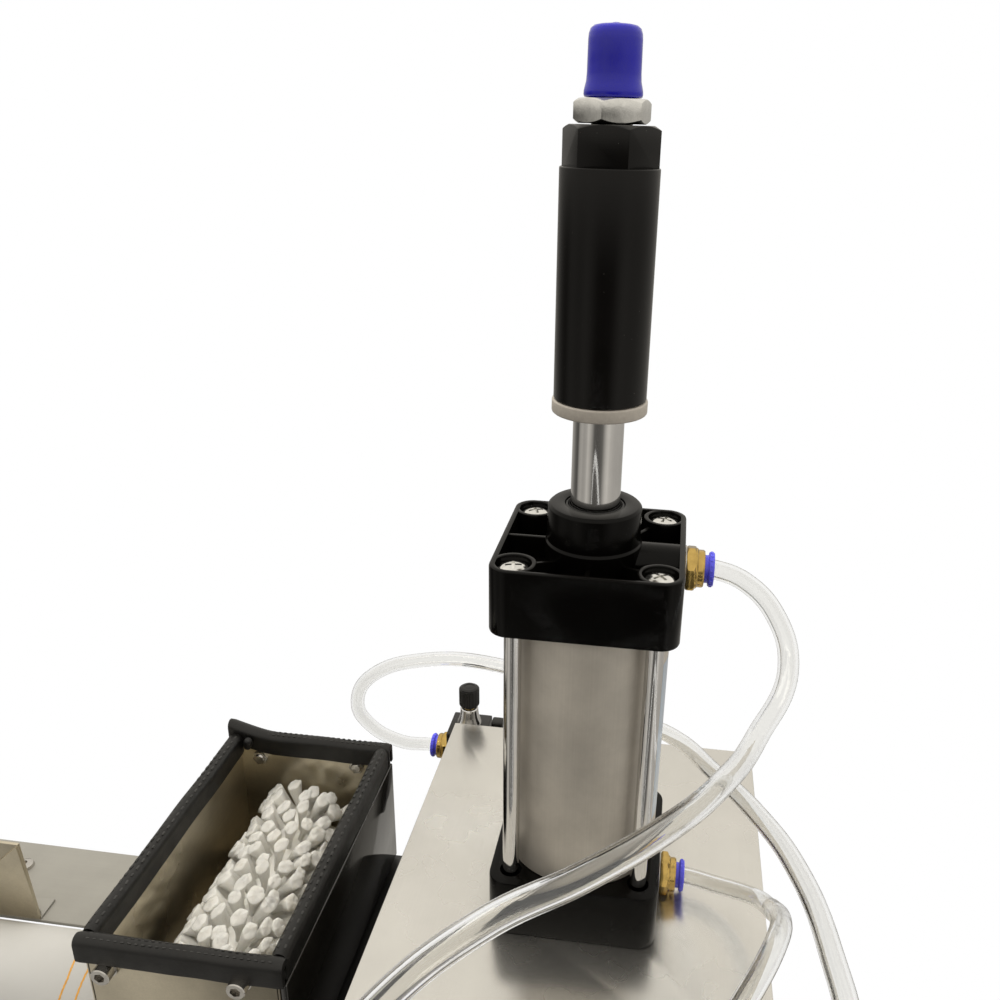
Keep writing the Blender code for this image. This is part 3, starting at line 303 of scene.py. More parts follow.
    def principled(self, **inputs: object) -> bpy.types.Node:
        """Add the surface shader and join it to the output.

        Args:
            **inputs: The shader's inputs, with underscores for spaces.

        Returns:
            The shader node.
        """
        shader = self.add("ShaderNodeBsdfPrincipled", **inputs)
        self.links.new(shader.outputs["BSDF"], self.output.inputs["Surface"])
        return shader


# Finishes


@dataclass(frozen=True)
class Finish:
    """A metal, plastic or rubber surface with its own small irregularities.

    The colour is linear. Scales are features per metre, and depths are in metres.
    """

    name: str
    slot: Slot
    colour: Colour
    roughness: float
    metallic: float = 0.0
    mottle: float = 0.06
    mottle_scale: float = 60.0
    uneven: float = 0.05
    grain: Grain = Grain.NONE
    grain_scale: float = 900.0
    grain_depth: float = 0.0
    peel_scale: float = 900.0
    peel_depth: float = 0.0
    dust: float = 0.0
    dust_scale: float = 420.0
    specular: float = 0.5
    coat: float = 0.0
    subsurface: float = 0.0

    def material(self) -> bpy.types.Material:
        """The finish's material, made once.

        Returns:
            The material.
        """
        made = bpy.data.materials.get(self.name)
        if made is None:
            tree = Tree(self.name)
            self.dress(tree)
            made = tree.material
            log.info("finish %s", self.name)
        return made

    def shade(self, tree: Tree) -> bpy.types.NodeSocket:
        """The surface colour with its mottling and dust.

        Args:
            tree: The tree to add to.

        Returns:
            The colour socket.
        """
        dark = tuple(c * (1 - self.mottle) for c in self.colour)
        light = tuple(min(1.0, c * (1 + self.mottle)) for c in self.colour)
        clouds = tree.span(tree.noise(self.mottle_scale, 5.0, 0.62), 0.3, 0.7, 0.0, 1.0)
        colour = tree.mix(clouds, dark, light)
        if self.grain is not Grain.NONE:
            lines = tree.noise(self.grain_scale, 2.0, 0.6, self.grain.value)
            streaks = tree.span(lines, 0.3, 0.7, 0.0, self.mottle)
            colour = tree.mix(streaks, colour, tuple(c * 0.55 for c in self.colour))
        if self.dust > 0:
            spots = tree.specks(self.dust_scale, self.dust)
            patches = tree.span(tree.noise(35.0, 2.0), 0.45, 0.62, 0.0, 0.55)
            colour = tree.mix(tree.maths("MULTIPLY", spots, patches), colour, (0.32, 0.31, 0.29))
        return colour

    def relief(self, tree: Tree) -> bpy.types.NodeSocket | None:
        """The normal from the finish's grain and orange peel.

        Args:
            tree: The tree to add to.

        Returns:
            The normal socket, or nothing for a smooth finish.
        """
        normal = None
        if self.peel_depth > 0:
            normal = tree.bump(tree.noise(self.peel_scale, 2.0), 1.0, self.peel_depth)
        if self.grain is not Grain.NONE and self.grain_depth > 0:
            lines = tree.noise(self.grain_scale, 3.0, 0.65, self.grain.value)
            normal = tree.bump(lines, 1.0, self.grain_depth, normal)
        return normal

    def dress(self, tree: Tree) -> None:
        """Build the surface in a tree.

        Args:
            tree: The material's tree.
        """
        patches = tree.noise(self.mottle_scale * 0.6, 4.0, 0.6)
        low, high = max(0.02, self.roughness - self.uneven), self.roughness + self.uneven
        shader = tree.principled(
            Base_Color=self.shade(tree), Roughness=tree.span(patches, 0.3, 0.7, low, high)
        )
        shader.inputs["Metallic"].default_value = self.metallic
        shader.inputs["Specular IOR Level"].default_value = self.specular
        shader.inputs["Coat Weight"].default_value = self.coat
        shader.inputs["Coat Roughness"].default_value = 0.06
        if self.subsurface > 0:
            shader.inputs["Subsurface Weight"].default_value = self.subsurface
            shader.inputs["Subsurface Radius"].default_value = (1.0, 0.95, 0.85)
            shader.inputs["Subsurface Scale"].default_value = 0.002
        normal = self.relief(tree)
        if normal is not None:
            tree.feed(shader.inputs["Normal"], normal)


@dataclass(frozen=True)
class ClearHose(Finish):
    """Clear air hose: it bends light, with a faint haze and a little grey in its wall."""

    def dress(self, tree: Tree) -> None:
        """Build the glassy surface.

        Args:
            tree: The material's tree.
        """
        ripple = tree.noise(140.0, 3.0, 0.5)
        shader = tree.principled(Roughness=tree.span(ripple, 0.35, 0.65, 0.0, 0.06))
        shader.inputs["Base Color"].default_value = (*self.colour, 1.0)
        shader.inputs["Transmission Weight"].default_value = 1.0
        shader.inputs["IOR"].default_value = 1.45
        shader.inputs["Specular IOR Level"].default_value = self.specular
        tree.feed(shader.inputs["Normal"], tree.bump(ripple, 1.0, self.peel_depth))


@dataclass(frozen=True)
class Tufts(Finish):
    """Crinkled nylon bristle: pale, soft edged and streaked along each bundle, with painted shade
    darkening the bundles' tips.
    """

    def dress(self, tree: Tree) -> None:
        """Build the fibrous surface.

        Args:
            tree: The material's tree.
        """
        along = tree.add("ShaderNodeAttribute", {"attribute_name": "fibre"}).outputs["Vector"]
        strands = tree.add("ShaderNodeTexNoise", Vector=along, Scale=9.0, Detail=3.0)
        fibres = tree.span(strands.outputs["Fac"], 0.35, 0.65, 0.0, 1.0)
        colour = tree.mix(fibres, tuple(c * 0.93 for c in self.colour), self.colour)
        reach = tree.add("ShaderNodeSeparateXYZ", Vector=along).outputs["Z"]
        # Painted shade: the tip and crown of each bundle are darkened to 0.82 of the colour, so
        # that their tops, lit from above, don't look brighter than the sides.
        painted_tip_shade = tree.span(reach, 0.76, 0.80, 0.0, 1.0)
        colour = tree.mix(painted_tip_shade, colour, tuple(c * 0.82 for c in self.colour))
        stains = tree.span(tree.noise(70.0, 3.0), 0.5, 0.75, 0.0, 0.25)
        soiled = tuple(c * s for c, s in zip(self.colour, (0.9, 0.86, 0.76)))
        colour = tree.mix(stains, colour, soiled)
        shader = tree.principled(Base_Color=colour)
        shader.inputs["Roughness"].default_value = self.roughness
        shader.inputs["Specular IOR Level"].default_value = self.specular
        shader.inputs["Subsurface Weight"].default_value = self.subsurface
        shader.inputs["Subsurface Radius"].default_value = (1.0, 0.95, 0.85)
        shader.inputs["Subsurface Scale"].default_value = 0.002
        tree.feed(shader.inputs["Normal"], tree.bump(fibres, 0.7, 0.0003))


class Look:
    """The finishes of this machine."""

    CAP = Finish(
        "black_glazed_casting", Slot.BLACK_METAL, (0.0020, 0.0018, 0.0015), 0.17, mottle=0.25,
        uneven=0.05, peel_scale=1400.0, peel_depth=0.000012, dust=0.018, specular=0.13,
    )
    SLEEVE = Finish(
        "black_turned_anodise", Slot.BLACK_METAL, (0.0028, 0.0022, 0.0018), 0.22, mottle=0.18,
        grain=Grain.AROUND_Z, grain_scale=2600.0, grain_depth=0.000006, dust=0.045,
        dust_scale=300.0, specular=0.24,
    )
    BARREL = Finish(
        "drawn_aluminium_tube", Slot.ALUMINIUM, (0.60, 0.56, 0.50), 0.45, metallic=0.40,
        mottle=0.11, mottle_scale=48.0, grain=Grain.ALONG_Z, grain_scale=1500.0,
        grain_depth=0.000008,
    )
    CHROME = Finish(
        "hard_chrome", Slot.CHROME, (0.72, 0.71, 0.70), 0.09, metallic=1.0, mottle=0.05,
        uneven=0.04, grain=Grain.ALONG_Z, grain_scale=1800.0, grain_depth=0.000003,
    )
    ZINC = Finish(
        "bright_zinc", Slot.ZINC, (0.74, 0.735, 0.71), 0.17, metallic=1.0, mottle=0.10,
        mottle_scale=260.0, uneven=0.07, peel_scale=700.0, peel_depth=0.00003,
    )
    BOLT = Finish(
        "machine_screw_steel", Slot.STAINLESS, (0.55, 0.53, 0.50), 0.22, metallic=1.0,
        mottle=0.12, mottle_scale=300.0, uneven=0.06, peel_scale=1200.0, peel_depth=0.00001,
    )
    BRASS = Finish(
        "turned_brass", Slot.BRASS, (0.54, 0.37, 0.115), 0.15, metallic=1.0, mottle=0.16,
        mottle_scale=220.0, uneven=0.06, peel_scale=900.0, peel_depth=0.00001,
    )
    STEM = Finish(
        "aged_brass", Slot.BRASS, (0.42, 0.31, 0.14), 0.30, metallic=1.0, mottle=0.2,
        mottle_scale=260.0,
    )
    TAPE = Finish(
        "thread_tape", Slot.NYLON, (0.80, 0.79, 0.76), 0.55, mottle=0.06, mottle_scale=500.0,
        peel_scale=1500.0, peel_depth=0.00005, subsurface=0.2,
    )
    COLLAR = Finish(
        "blue_moulding", Slot.BLUE, (0.11, 0.11, 0.95), 0.28, mottle=0.05, peel_scale=800.0,
        peel_depth=0.000008, subsurface=0.15,
    )
    THREAD_CAP = Finish(
        "blue_dipped_vinyl", Slot.BLUE, (0.012, 0.010, 0.50), 0.15, mottle=0.06,
        mottle_scale=90.0, peel_scale=260.0, peel_depth=0.00004, specular=0.5,
    )
    BUMPER = Finish(
        "pale_bumper_rubber", Slot.BUMPER, (0.52, 0.48, 0.43), 0.55, mottle=0.07,
        mottle_scale=500.0, peel_scale=1800.0, peel_depth=0.00003,
    )
    KNOB = Finish(
        "black_knob_plastic", Slot.BLACK_PLASTIC, (0.0042, 0.0038, 0.0035), 0.42, mottle=0.2,
        peel_scale=1500.0, peel_depth=0.00002, dust=0.04,
    )
    COVER = Finish(
        "black_gloss_sheet", Slot.BLACK_PLASTIC, (0.010, 0.0092, 0.0078), 0.07, mottle=0.3,
        uneven=0.03, peel_scale=45.0, peel_depth=0.00016, specular=1.0, dust=0.03,
    )
    BLACK_STEEL = Finish(
        "black_painted_bracket", Slot.BLACK_PLASTIC, (0.006, 0.006, 0.0065), 0.38, mottle=0.2,
        peel_scale=700.0, peel_depth=0.00003,
    )
    TRIM = Finish(
        "black_trim_rubber", Slot.RUBBER, (0.0062, 0.0058, 0.0052), 0.42, mottle=0.3,
        mottle_scale=200.0, uneven=0.08, peel_scale=1700.0, peel_depth=0.00009, dust=0.03,
        specular=0.45,
    )
    TRIM_PAD = Finish(
        "worn_trim_pads", Slot.RUBBER, (0.024, 0.0235, 0.022), 0.45, mottle=0.5,
        mottle_scale=160.0, peel_scale=1700.0, peel_depth=0.00005,
    )
    SEAL = Finish(
        "black_seal_rubber", Slot.RUBBER, (0.010, 0.010, 0.010), 0.5, peel_scale=1200.0,
        peel_depth=0.00002,
    )
    PLATE = Finish(
        "brushed_top_plate", Slot.PLATE, (0.68, 0.665, 0.63), 0.25, metallic=0.90, mottle=0.05,
        mottle_scale=22.0, uneven=0.07, grain=Grain.ALONG_Y, grain_scale=1500.0,
        grain_depth=0.000012,
    )
    DECK_PLATE = Finish(
        "dull_deck_plate", Slot.PLATE, (0.36, 0.35, 0.32), 0.48, metallic=0.35, mottle=0.06,
        mottle_scale=30.0, grain=Grain.ALONG_X, grain_scale=1400.0, grain_depth=0.00001,
    )
    SHEET = Finish(
        "cabinet_sheet", Slot.STAINLESS, (0.58, 0.57, 0.545), 0.30, metallic=1.0, mottle=0.05,
        mottle_scale=18.0, grain=Grain.ALONG_Z, grain_scale=1300.0, grain_depth=0.00001,
    )
    TROUGH = Finish(
        "dull_trough_sheet", Slot.STAINLESS, (0.64, 0.58, 0.455), 0.30, metallic=0.97,
        mottle=0.16, mottle_scale=26.0, uneven=0.08, grain=Grain.ALONG_Y, grain_scale=1100.0,
        grain_depth=0.00001,
    )
    MACHINED = Finish(
        "machined_stainless", Slot.STAINLESS, (0.60, 0.59, 0.57), 0.26, metallic=1.0,
        mottle=0.06, mottle_scale=80.0, peel_scale=1600.0, peel_depth=0.00001,
    )
    VALVE = Finish(
        "silver_valve_body", Slot.ALUMINIUM, (0.56, 0.56, 0.55), 0.40, metallic=0.85,
        mottle=0.05, peel_scale=1500.0, peel_depth=0.00002,
    )
    STICKER = Finish(
        "bare_sticker", Slot.ALUMINIUM, (0.50, 0.60, 0.72), 0.30, mottle=0.04, coat=0.3,
    )
    BELT = Finish(
        "white_belt", Slot.NYLON, (0.52, 0.515, 0.50), 0.50, mottle=0.03, mottle_scale=40.0,
        peel_scale=1500.0, peel_depth=0.00002, subsurface=0.1,
    )
    MARKS = Finish(
        "orange_belt_mark", Slot.NYLON, (0.72, 0.36, 0.06), 0.55, mottle=0.25,
        mottle_scale=400.0,
    )
    HOSE = ClearHose(
        "clear_air_hose", Slot.HOSE, (0.90, 0.895, 0.875), 0.05, peel_depth=0.00003, specular=0.5
    )
    NYLON = Tufts(
        "nylon_tufts", Slot.NYLON, (0.99, 0.975, 0.925), 0.70, specular=0.1, subsurface=0.3
    )


# Meshes in the making


def rounded_outline(width: float, depth: float, radius: float, steps: int = 8) -> list[Point2]:
    """The outline of a rectangle with round corners, centred on the axis.

    Args:
        width: Its size along X.
        depth: Its size along Y.
        radius: The corners' radius.
        steps: Segments in each corner.

    Returns:
        Points, counter-clockwise.
    """
    points = []
    for quarter, (side_x, side_y) in enumerate(((1, 1), (-1, 1), (-1, -1), (1, -1))):
        for step in range(steps + 1):
            angle = (quarter + step / steps) * PI / 2
            points.append(
                (
                    side_x * (width / 2 - radius) + radius * math.cos(angle),
                    side_y * (depth / 2 - radius) + radius * math.sin(angle),
                )
            )
    return points


def towards(direction: Point3, at: Point3 = (0, 0, 0)) -> Matrix:
    """A matrix that turns +Z to a direction and moves the origin to a point.

    Args:
        direction: Where +Z goes.
        at: Where the origin goes.

    Returns:
        The matrix.
    """
    turn = Vector((0, 0, 1)).rotation_difference(Vector(direction))
    return Matrix.Translation(at) @ turn.to_matrix().to_4x4()


class Shape:
    """A mesh that is built up from closed forms."""

    def __init__(self) -> None:
        """Start with nothing."""
        self.mesh = bmesh.new()

    def take(self, form: bmesh.types.BMesh, place: Matrix | None = None) -> "Shape":
        """Add a closed form and free it.

        Args:
            form: The form to add.
            place: Where it goes.

        Returns:
            This shape.
        """
        if place is not None:
            form.transform(place)
        data = bpy.data.meshes.new("form")
        form.to_mesh(data)
        form.free()
        self.mesh.from_mesh(data)
        bpy.data.meshes.remove(data)
        return self

    @staticmethod
    def closed(
        form: bmesh.types.BMesh, soften: float = 0.0, segments: int = 2, angle: float = 30.0
    ) -> None:
        """Merge doubles, turn faces outwards and round a form's sharp edges.

        Args:
            form: The form.
            soften: The width of the rounded edges.
            segments: Segments across a rounded edge.
            angle: Edges that turn by more degrees than this are rounded.
        """
        bmesh.ops.remove_doubles(form, verts=form.verts, dist=1e-7)
        bmesh.ops.recalc_face_normals(form, faces=form.faces)
        if soften <= 0:
            return
        limit = math.radians(angle)
        sharp = [e for e in form.edges if e.is_manifold and e.calc_face_angle(0.0) > limit]
        bmesh.ops.bevel(
            form,
            geom=sharp,
            offset=soften,
            offset_type="OFFSET",
            segments=segments,
            profile=0.5,
            affect="EDGES",
            material=-1,
            clamp_overlap=True,
        )

    def turned(
        self,
        profile: Sequence[Point2],
        segments: int = 64,
        place: Matrix | None = None,
        soften: float = 0.0,
        rings: int = 2,
    ) -> "Shape":
        """Add a form turned about Z from (radius, height) points, in millimetres.

        Args:
            profile: The points: a ring, or a solid where the ends are on the axis.
            segments: Steps round the axis.
            place: Where it goes.
            soften: The width of the rounded edges, in millimetres.
            rings: Segments across a rounded edge.

        Returns:
            This shape.
        """
        form = bmesh.new()
        verts = [form.verts.new((r * MM, 0, z * MM)) for r, z in profile]
        edges = [form.edges.new(pair) for pair in zip(verts, verts[1:])]
        if profile[0][0] > 0:
            edges.append(form.edges.new((verts[-1], verts[0])))
        bmesh.ops.spin(
            form,
            geom=verts + edges,
            cent=(0, 0, 0),
            axis=(0, 0, 1),
            angle=2 * PI,
            steps=segments,
            use_merge=True,
        )
        self.closed(form, soften * MM, rings)
        return self.take(form, place)

    def prism(
        self,
        outline: Sequence[Point2],
        low: float,
        high: float,
        place: Matrix | None = None,
        soften: float = 0.0,
        rings: int = 2,
    ) -> "Shape":
        """Add an outline raised between two heights, in millimetres.

        Args:
            outline: The (x, y) points.
            low: The lower height.
            high: The upper height.
            place: Where it goes.
            soften: The width of the rounded edges, in millimetres.
            rings: Segments across a rounded edge.

        Returns:
            This shape.
        """
        form = bmesh.new()
        face = form.faces.new([form.verts.new((x * MM, y * MM, low * MM)) for x, y in outline])
        raised = bmesh.ops.extrude_face_region(form, geom=[face])["geom"]
        bmesh.ops.translate(
            form,
            vec=(0, 0, (high - low) * MM),
            verts=[item for item in raised if isinstance(item, bmesh.types.BMVert)],
        )
        self.closed(form, soften * MM, rings)
        return self.take(form, place)

    def block(
        self,
        low: Point3,
        high: Point3,
        place: Matrix | None = None,
        soften: float = 0.0,
        rings: int = 2,
    ) -> "Shape":
        """Add a block between two corners, in millimetres.

        Args:
            low: The lowest corner.
            high: The highest corner.
            place: Where it goes.
            soften: The width of the rounded edges, in millimetres.
            rings: Segments across a rounded edge.

        Returns:
            This shape.
        """
        (x0, y0, z0), (x1, y1, z1) = low, high
        outline = [(x0, y0), (x1, y0), (x1, y1), (x0, y1)]
        return self.prism(outline, z0, z1, place, soften, rings)

    def lofted(
        self, sections: Sequence[tuple[Sequence[Point2], float]], place: Matrix | None = None
    ) -> "Shape":
        """Add a form that passes through outlines of one point count, in millimetres.

        Args:
            sections: Each outline with its height, from one end to the other.
            place: Where it goes.

        Returns:
            This shape.
        """
        form = bmesh.new()
        loops = []
        for outline, height in sections:
            verts = [form.verts.new((x * MM, y * MM, height * MM)) for x, y in outline]
            loops.append([form.edges.new(pair) for pair in zip(verts, verts[1:] + verts[:1])])
            if len(loops) in (1, len(sections)):
                form.faces.new(verts)
        for one, two in zip(loops, loops[1:]):
            bmesh.ops.bridge_loops(form, edges=one + two)
        self.closed(form)
        return self.take(form, place)

    def joined(self, other: "Shape", place: Matrix | None = None) -> "Shape":
        """Add a copy of another shape.

        Args:
            other: The shape to copy.
            place: Where it goes.

        Returns:
            This shape.
        """
        return self.take(other.mesh.copy(), place)

    def placed(self, place: Matrix) -> "Shape":
        """Move the whole shape.

        Args:
            place: Where it goes.

        Returns:
            This shape.
        """
        self.mesh.transform(place)
        return self

    def carved(self, tools: Iterable["Shape"], operation: str = "DIFFERENCE") -> "Shape":
        """Cut this shape with others by exact Booleans.

        Args:
            tools: The cutting shapes, which are used up.
            operation: The Boolean operation.

        Returns:
            This shape.
        """
        scene = bpy.context.scene.collection
        data = bpy.data.meshes.new("blank")
        self.mesh.to_mesh(data)
        blank = bpy.data.objects.new("blank", data)
        scene.objects.link(blank)
        used = [blank]
        for tool in tools:
            cutter_data = bpy.data.meshes.new("cutter")
            tool.mesh.to_mesh(cutter_data)
            tool.mesh.free()
            cutter = bpy.data.objects.new("cutter", cutter_data)
            scene.objects.link(cutter)
            used.append(cutter)
            modifier = blank.modifiers.new("cut", "BOOLEAN")
            modifier.operation = operation
            modifier.solver = "EXACT"
            modifier.object = cutter
        graph = bpy.context.evaluated_depsgraph_get()
        result = bpy.data.meshes.new_from_object(blank.evaluated_get(graph))
        self.mesh.free()
        self.mesh = bmesh.new()
        self.mesh.from_mesh(result)
        bpy.data.meshes.remove(result)
        for item in used:
            bpy.data.objects.remove(item)
        return self

    def softened(self, width: float, rings: int = 2, angle: float = 30.0) -> "Shape":
        """Round the sharp edges of the whole shape.

        Args:
            width: The rounded edges' width, in millimetres.
            rings: Segments across a rounded edge.
            angle: Edges that turn by more degrees than this are rounded.

        Returns:
            This shape.
        """
        self.closed(self.mesh, width * MM, rings, angle)
        return self

    def published(
        self,
        name: str,
        finish: Finish,
        body: Body | str,
        replaces: Sequence[str] = (),
        flat_angle: float = 32.0,
    ) -> bpy.types.Object:
        """Make the shape an object that rides on a body.

        Args:
            name: The piece's name.
            finish: Its finish.
            body: The body that it rides on.
            replaces: The CAD nodes that it stands for.
            flat_angle: Edges that turn by more degrees than this stay sharp.

        Returns:
            The object.
        """
        data = bpy.data.meshes.new(name)
        self.mesh.to_mesh(data)
        self.mesh.free()
        data.shade_smooth()
        data.set_sharp_from_angle(angle=math.radians(flat_angle))
        piece = bpy.data.objects.new(name, data)
        bpy.context.scene.collection.objects.link(piece)
        dress(piece, finish, body, replaces)
        return piece


def dress(
    piece: bpy.types.Object, finish: Finish, body: Body | str, replaces: Sequence[str] = ()
) -> None:
    """Give a piece its finish and its body, and report it.

    Args:
        piece: The piece.
        finish: Its finish.
        body: The body that it rides on.
        replaces: The CAD nodes that it stands for.
    """
    piece.data.materials.clear()
    piece.data.materials.append(finish.material())
    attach(piece, body.value if isinstance(body, Body) else body)
    if replaces:
        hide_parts(*replaces)
    log.info("piece %s rides on %s", piece.name, body)


def kept(node: str, finish: Finish) -> None:
    """Give a CAD node its finish and leave its shape.

    Args:
        node: The node's name.
        finish: Its finish.
    """
    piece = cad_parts[node]
    piece.data.materials.clear()
    piece.data.materials.append(finish.material())
    log.info("node %s keeps its shape", node)


def refined(
    node: str, finish: Finish, body: Body | str, soften: float, rings: int = 2
) -> bpy.types.Object:
    """Stand a copy of a CAD node, with its edges rounded, for the node.

    Args:
        node: The node's name.
        finish: Its finish.
        body: The body that it rides on.
        soften: The rounded edges' width, in millimetres.
        rings: Segments across a rounded edge.

    Returns:
        The new piece.
    """
    shape = Shape()
    shape.mesh.from_mesh(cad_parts[node].data)
    bmesh.ops.remove_doubles(shape.mesh, verts=shape.mesh.verts, dist=1e-6)
    bmesh.ops.dissolve_limit(
        shape.mesh,
        angle_limit=math.radians(0.5),
        verts=shape.mesh.verts,
        edges=shape.mesh.edges,
    )
    shape.softened(soften, rings)
    return shape.published(f"{node}_finished", finish, body, [node])


def centre(node: str) -> Vector:
    """The middle of a CAD node's box.

    Args:
        node: The node's name.

    Returns:
        The middle point.
    """
    low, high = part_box(node)
    return (low + high) / 2


def polygon(corners: int, radius: float, turn: float = 0.0) -> list[Point2]:
    """The corners of a regular polygon.

    Args:
        corners: How many corners.
        radius: Axis to corner.
        turn: The first corner's angle, in degrees.

    Returns:
        Points, counter-clockwise.
    """
    start = math.radians(turn)
    return [
        (
            radius * math.cos(start + 2 * PI * k / corners),
            radius * math.sin(start + 2 * PI * k / corners),
        )
        for k in range(corners)
    ]


# Drive cylinder


@dataclass
class DriveCylinder:
    """Caps, barrel, tie rods, screws, wipers and everything on the piston rod's lower part."""

    side: float = 75.0
    length: float = 28.5
    corner: float = 8.0
    rim: float = 2.4
    floor: float = 18.5
    boss_radius: float = 19.0
    boss_height: float = 15.7
    bore: float = 10.6
    wiper_seat: float = 12.2
    half_spacing: float = 28.25
    collar_radius: float = 9.0
    head_radius: float = 6.4
    port_axis: float = 18.7

    @property
    def tie_places(self) -> list[Point2]:
        """The tie rods' places in plan."""
        half = self.half_spacing
        return [(-half, -half), (half, -half), (half, half), (-half, half)]

    def cap_body(self) -> Shape:
        """The square cup of a cap, with the seats of the tie rods in its inner face.

        Returns:
            The shape.
        """

        def section(shrink: float, height: float) -> tuple[list[Point2], float]:
            """A rounded square, smaller than the cap by twice the shrink."""
            side = self.side - 2 * shrink
            return rounded_outline(side, side, max(1.5, self.corner - shrink)), height

        top = self.length
        inner = self.rim
        body = Shape().lofted(
            [
                section(0.7, 0.0),
                section(0.2, 0.18),
                section(0.0, 0.7),
                section(0.0, top - 0.8),
                section(0.18, top - 0.28),
                section(0.7, top),
                section(inner - 0.5, top),
                section(inner - 0.12, top - 0.15),
                section(inner, top - 0.5),
                section(inner + 0.35, self.floor + 1.4),
                section(inner + 0.8, self.floor + 0.5),
                section(inner + 1.8, self.floor),
            ]
        )
        seats = []
        for x, y in self.tie_places:
            seat = Shape().turned(
                [(0, -5), (4.8, -5), (4.8, 3), (4.1, 3), (4.1, 13), (0, 13)],
                32,
                Matrix.Translation((x * MM, y * MM, 0)),
            )
            seats.append(seat)
            seats.append(Shape().block((x - 0.9, y - 6.6, -2.0), (x + 0.9, y - 3.0, 1.6)))
        return body.carved(seats)

    def cap(self) -> Shape:
        """A whole end cap: inner face at height 0 and the boss above the outer face.

        Returns:
            The shape.
        """
        cap = self.cap_body()
        rim = self.length
        top = rim + self.boss_height
        root = self.floor - 2.5
        cap.turned(
            [
                (self.bore, root), (self.boss_radius + 0.9, root),
                (self.boss_radius + 0.8, rim - 0.4), (self.boss_radius, rim + 0.5),
                (self.boss_radius, top - 1.1), (self.boss_radius - 1.1, top),
                (self.wiper_seat, top), (self.wiper_seat, top - 3.2), (self.bore, top - 3.2),
            ],
            96,
            soften=0.22,
        )
        for x, y in self.tie_places:
            cap.turned(
                [
                    (3.3, root), (self.collar_radius + 0.3, root),
                    (self.collar_radius, rim - 0.12), (self.head_radius + 0.75, rim - 0.12),
                    (self.head_radius + 0.5, rim - 5.0), (3.3, rim - 5.0),
                ],
                48,
                Matrix.Translation((x * MM, y * MM, 0)),
                soften=0.35,
            )
        reach = self.side / 2 - 1.0
        cap.turned(
            [(0, 16), (9.35, 16), (9.35, reach), (0, reach)],
            48,
            towards((1, 0, 0), (0, 0, self.port_axis * MM)),
        )
        cap.block((-reach, -0.95, root), (-17, 0.95, rim - 0.9), soften=0.35)
        cap.block((-1.0, -reach, root), (1.0, -20.2, rim - 4.6), soften=0.35)
        web = [(18.5, root), (31.6, root), (31.6, rim - 2.6), (18.5, rim - 5.2)]
        for quarter in range(4):
            spin = Matrix.Rotation(quarter * PI / 2 + PI / 4, 4, "Z")
            stand = Matrix.Rotation(PI / 2, 4, "X")
            cap.prism(web, -0.95, 0.95, spin @ stand, soften=0.3)
        return cap

    def screw(self, turn: float) -> Shape:
        """A pan-head screw with a cross recess, its head's seat at height 0.

        Args:
            turn: The recess's angle in degrees.

        Returns:
            The shape.
        """
        head = Shape().turned(
            [
                (0, -8), (2.9, -8), (2.9, 0), (6.3, 0), (6.4, 0.5), (6.35, 1.4), (5.7, 2.5),
                (4.3, 3.3), (2.4, 3.7), (0, 3.8),
            ],
            48,
        )
        cutters = []
        for quarter in (0, 90):
            spin = Matrix.Rotation(math.radians(turn + quarter), 4, "Z")
            arm = [(-3.5, 6), (-3.1, 2.6), (-1.3, 1.0), (1.3, 1.0), (3.1, 2.6), (3.5, 6)]
            cutters.append(Shape().prism(arm, -0.62, 0.62, spin @ Matrix.Rotation(PI / 2, 4, "X")))
        return head.carved(cutters)

    def build_caps(self) -> None:
        """Make both end caps."""
        upper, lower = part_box("upper_end_cap")[0].z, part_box("lower_end_cap")[1].z
        cap = self.cap()
        flipped = Matrix.Translation((0, 0, lower)) @ Matrix.Rotation(PI, 4, "X")
        Shape().joined(cap, flipped).published(
            "lower_cap", Look.CAP, Body.FRAME, ["lower_end_cap"]
        )
        Shape().joined(cap, Matrix.Translation((0, 0, upper))).published(
            "upper_cap", Look.CAP, Body.FRAME, ["upper_end_cap"]
        )
        cap.mesh.free()

    def build_barrel(self) -> None:
        """Make the barrel and the bare sticker strip on its right side."""
        low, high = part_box("barrel")
        tube = [(31.5, 0), (34.0, 0), (34.0, (high.z - low.z) / MM), (31.5, (high.z - low.z) / MM)]
        Shape().turned(tube, 128, Matrix.Translation((0, 0, low.z)), soften=0.3).published(
            "barrel_tube", Look.BARREL, Body.FRAME, ["barrel"]
        )
        form = bmesh.new()
        radius = 34.06 * MM
        start, stop, steps = math.radians(-19), math.radians(30), 20
        base, top = low.z + 21 * MM, low.z + 101 * MM
        first = Vector((radius * math.cos(start), radius * math.sin(start), base))
        verts = [form.verts.new(first), form.verts.new((first.x, first.y, top))]
        edge = form.edges.new(verts)
        bmesh.ops.spin(
            form,
            geom=verts + [edge],
            cent=(0, 0, 0),
            axis=(0, 0, 1),
            angle=stop - start,
            steps=steps,
        )
        bmesh.ops.recalc_face_normals(form, faces=form.faces)
        if form.faces[:][0].normal.x < 0:
            bmesh.ops.reverse_faces(form, faces=form.faces)
        bmesh.ops.solidify(form, geom=form.faces[:], thickness=0.05 * MM)
        Shape().take(form).published("barrel_sticker", Look.STICKER, Body.FRAME)

    def build_ties(self) -> None:
        """Make the tie rods and the screws in the upper cap's corners."""
        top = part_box("upper_end_cap")[0].z + (self.length - 5.0) * MM
        for number, (x, y) in enumerate(self.tie_places, start=1):
            low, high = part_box(f"tie_rod_{number}")
            length = (high.z - low.z) / MM
            Shape().turned(
                [(0, 0), (3.1, 0), (3.6, 0.6), (3.6, length - 0.6), (3.1, length), (0, length)],
                40,
                Matrix.Translation((x * MM, y * MM, low.z)),
            ).published(f"tie_bar_{number}", Look.CHROME, Body.FRAME, [f"tie_rod_{number}"])
            self.screw((12, 40, 68, 25)[number - 1]).placed(
                Matrix.Translation((x * MM, y * MM, top + 0.3 * MM))
            ).published(
                f"cap_screw_{number}", Look.ZINC, Body.FRAME, [f"tie_screw_{number}"], 25
            )

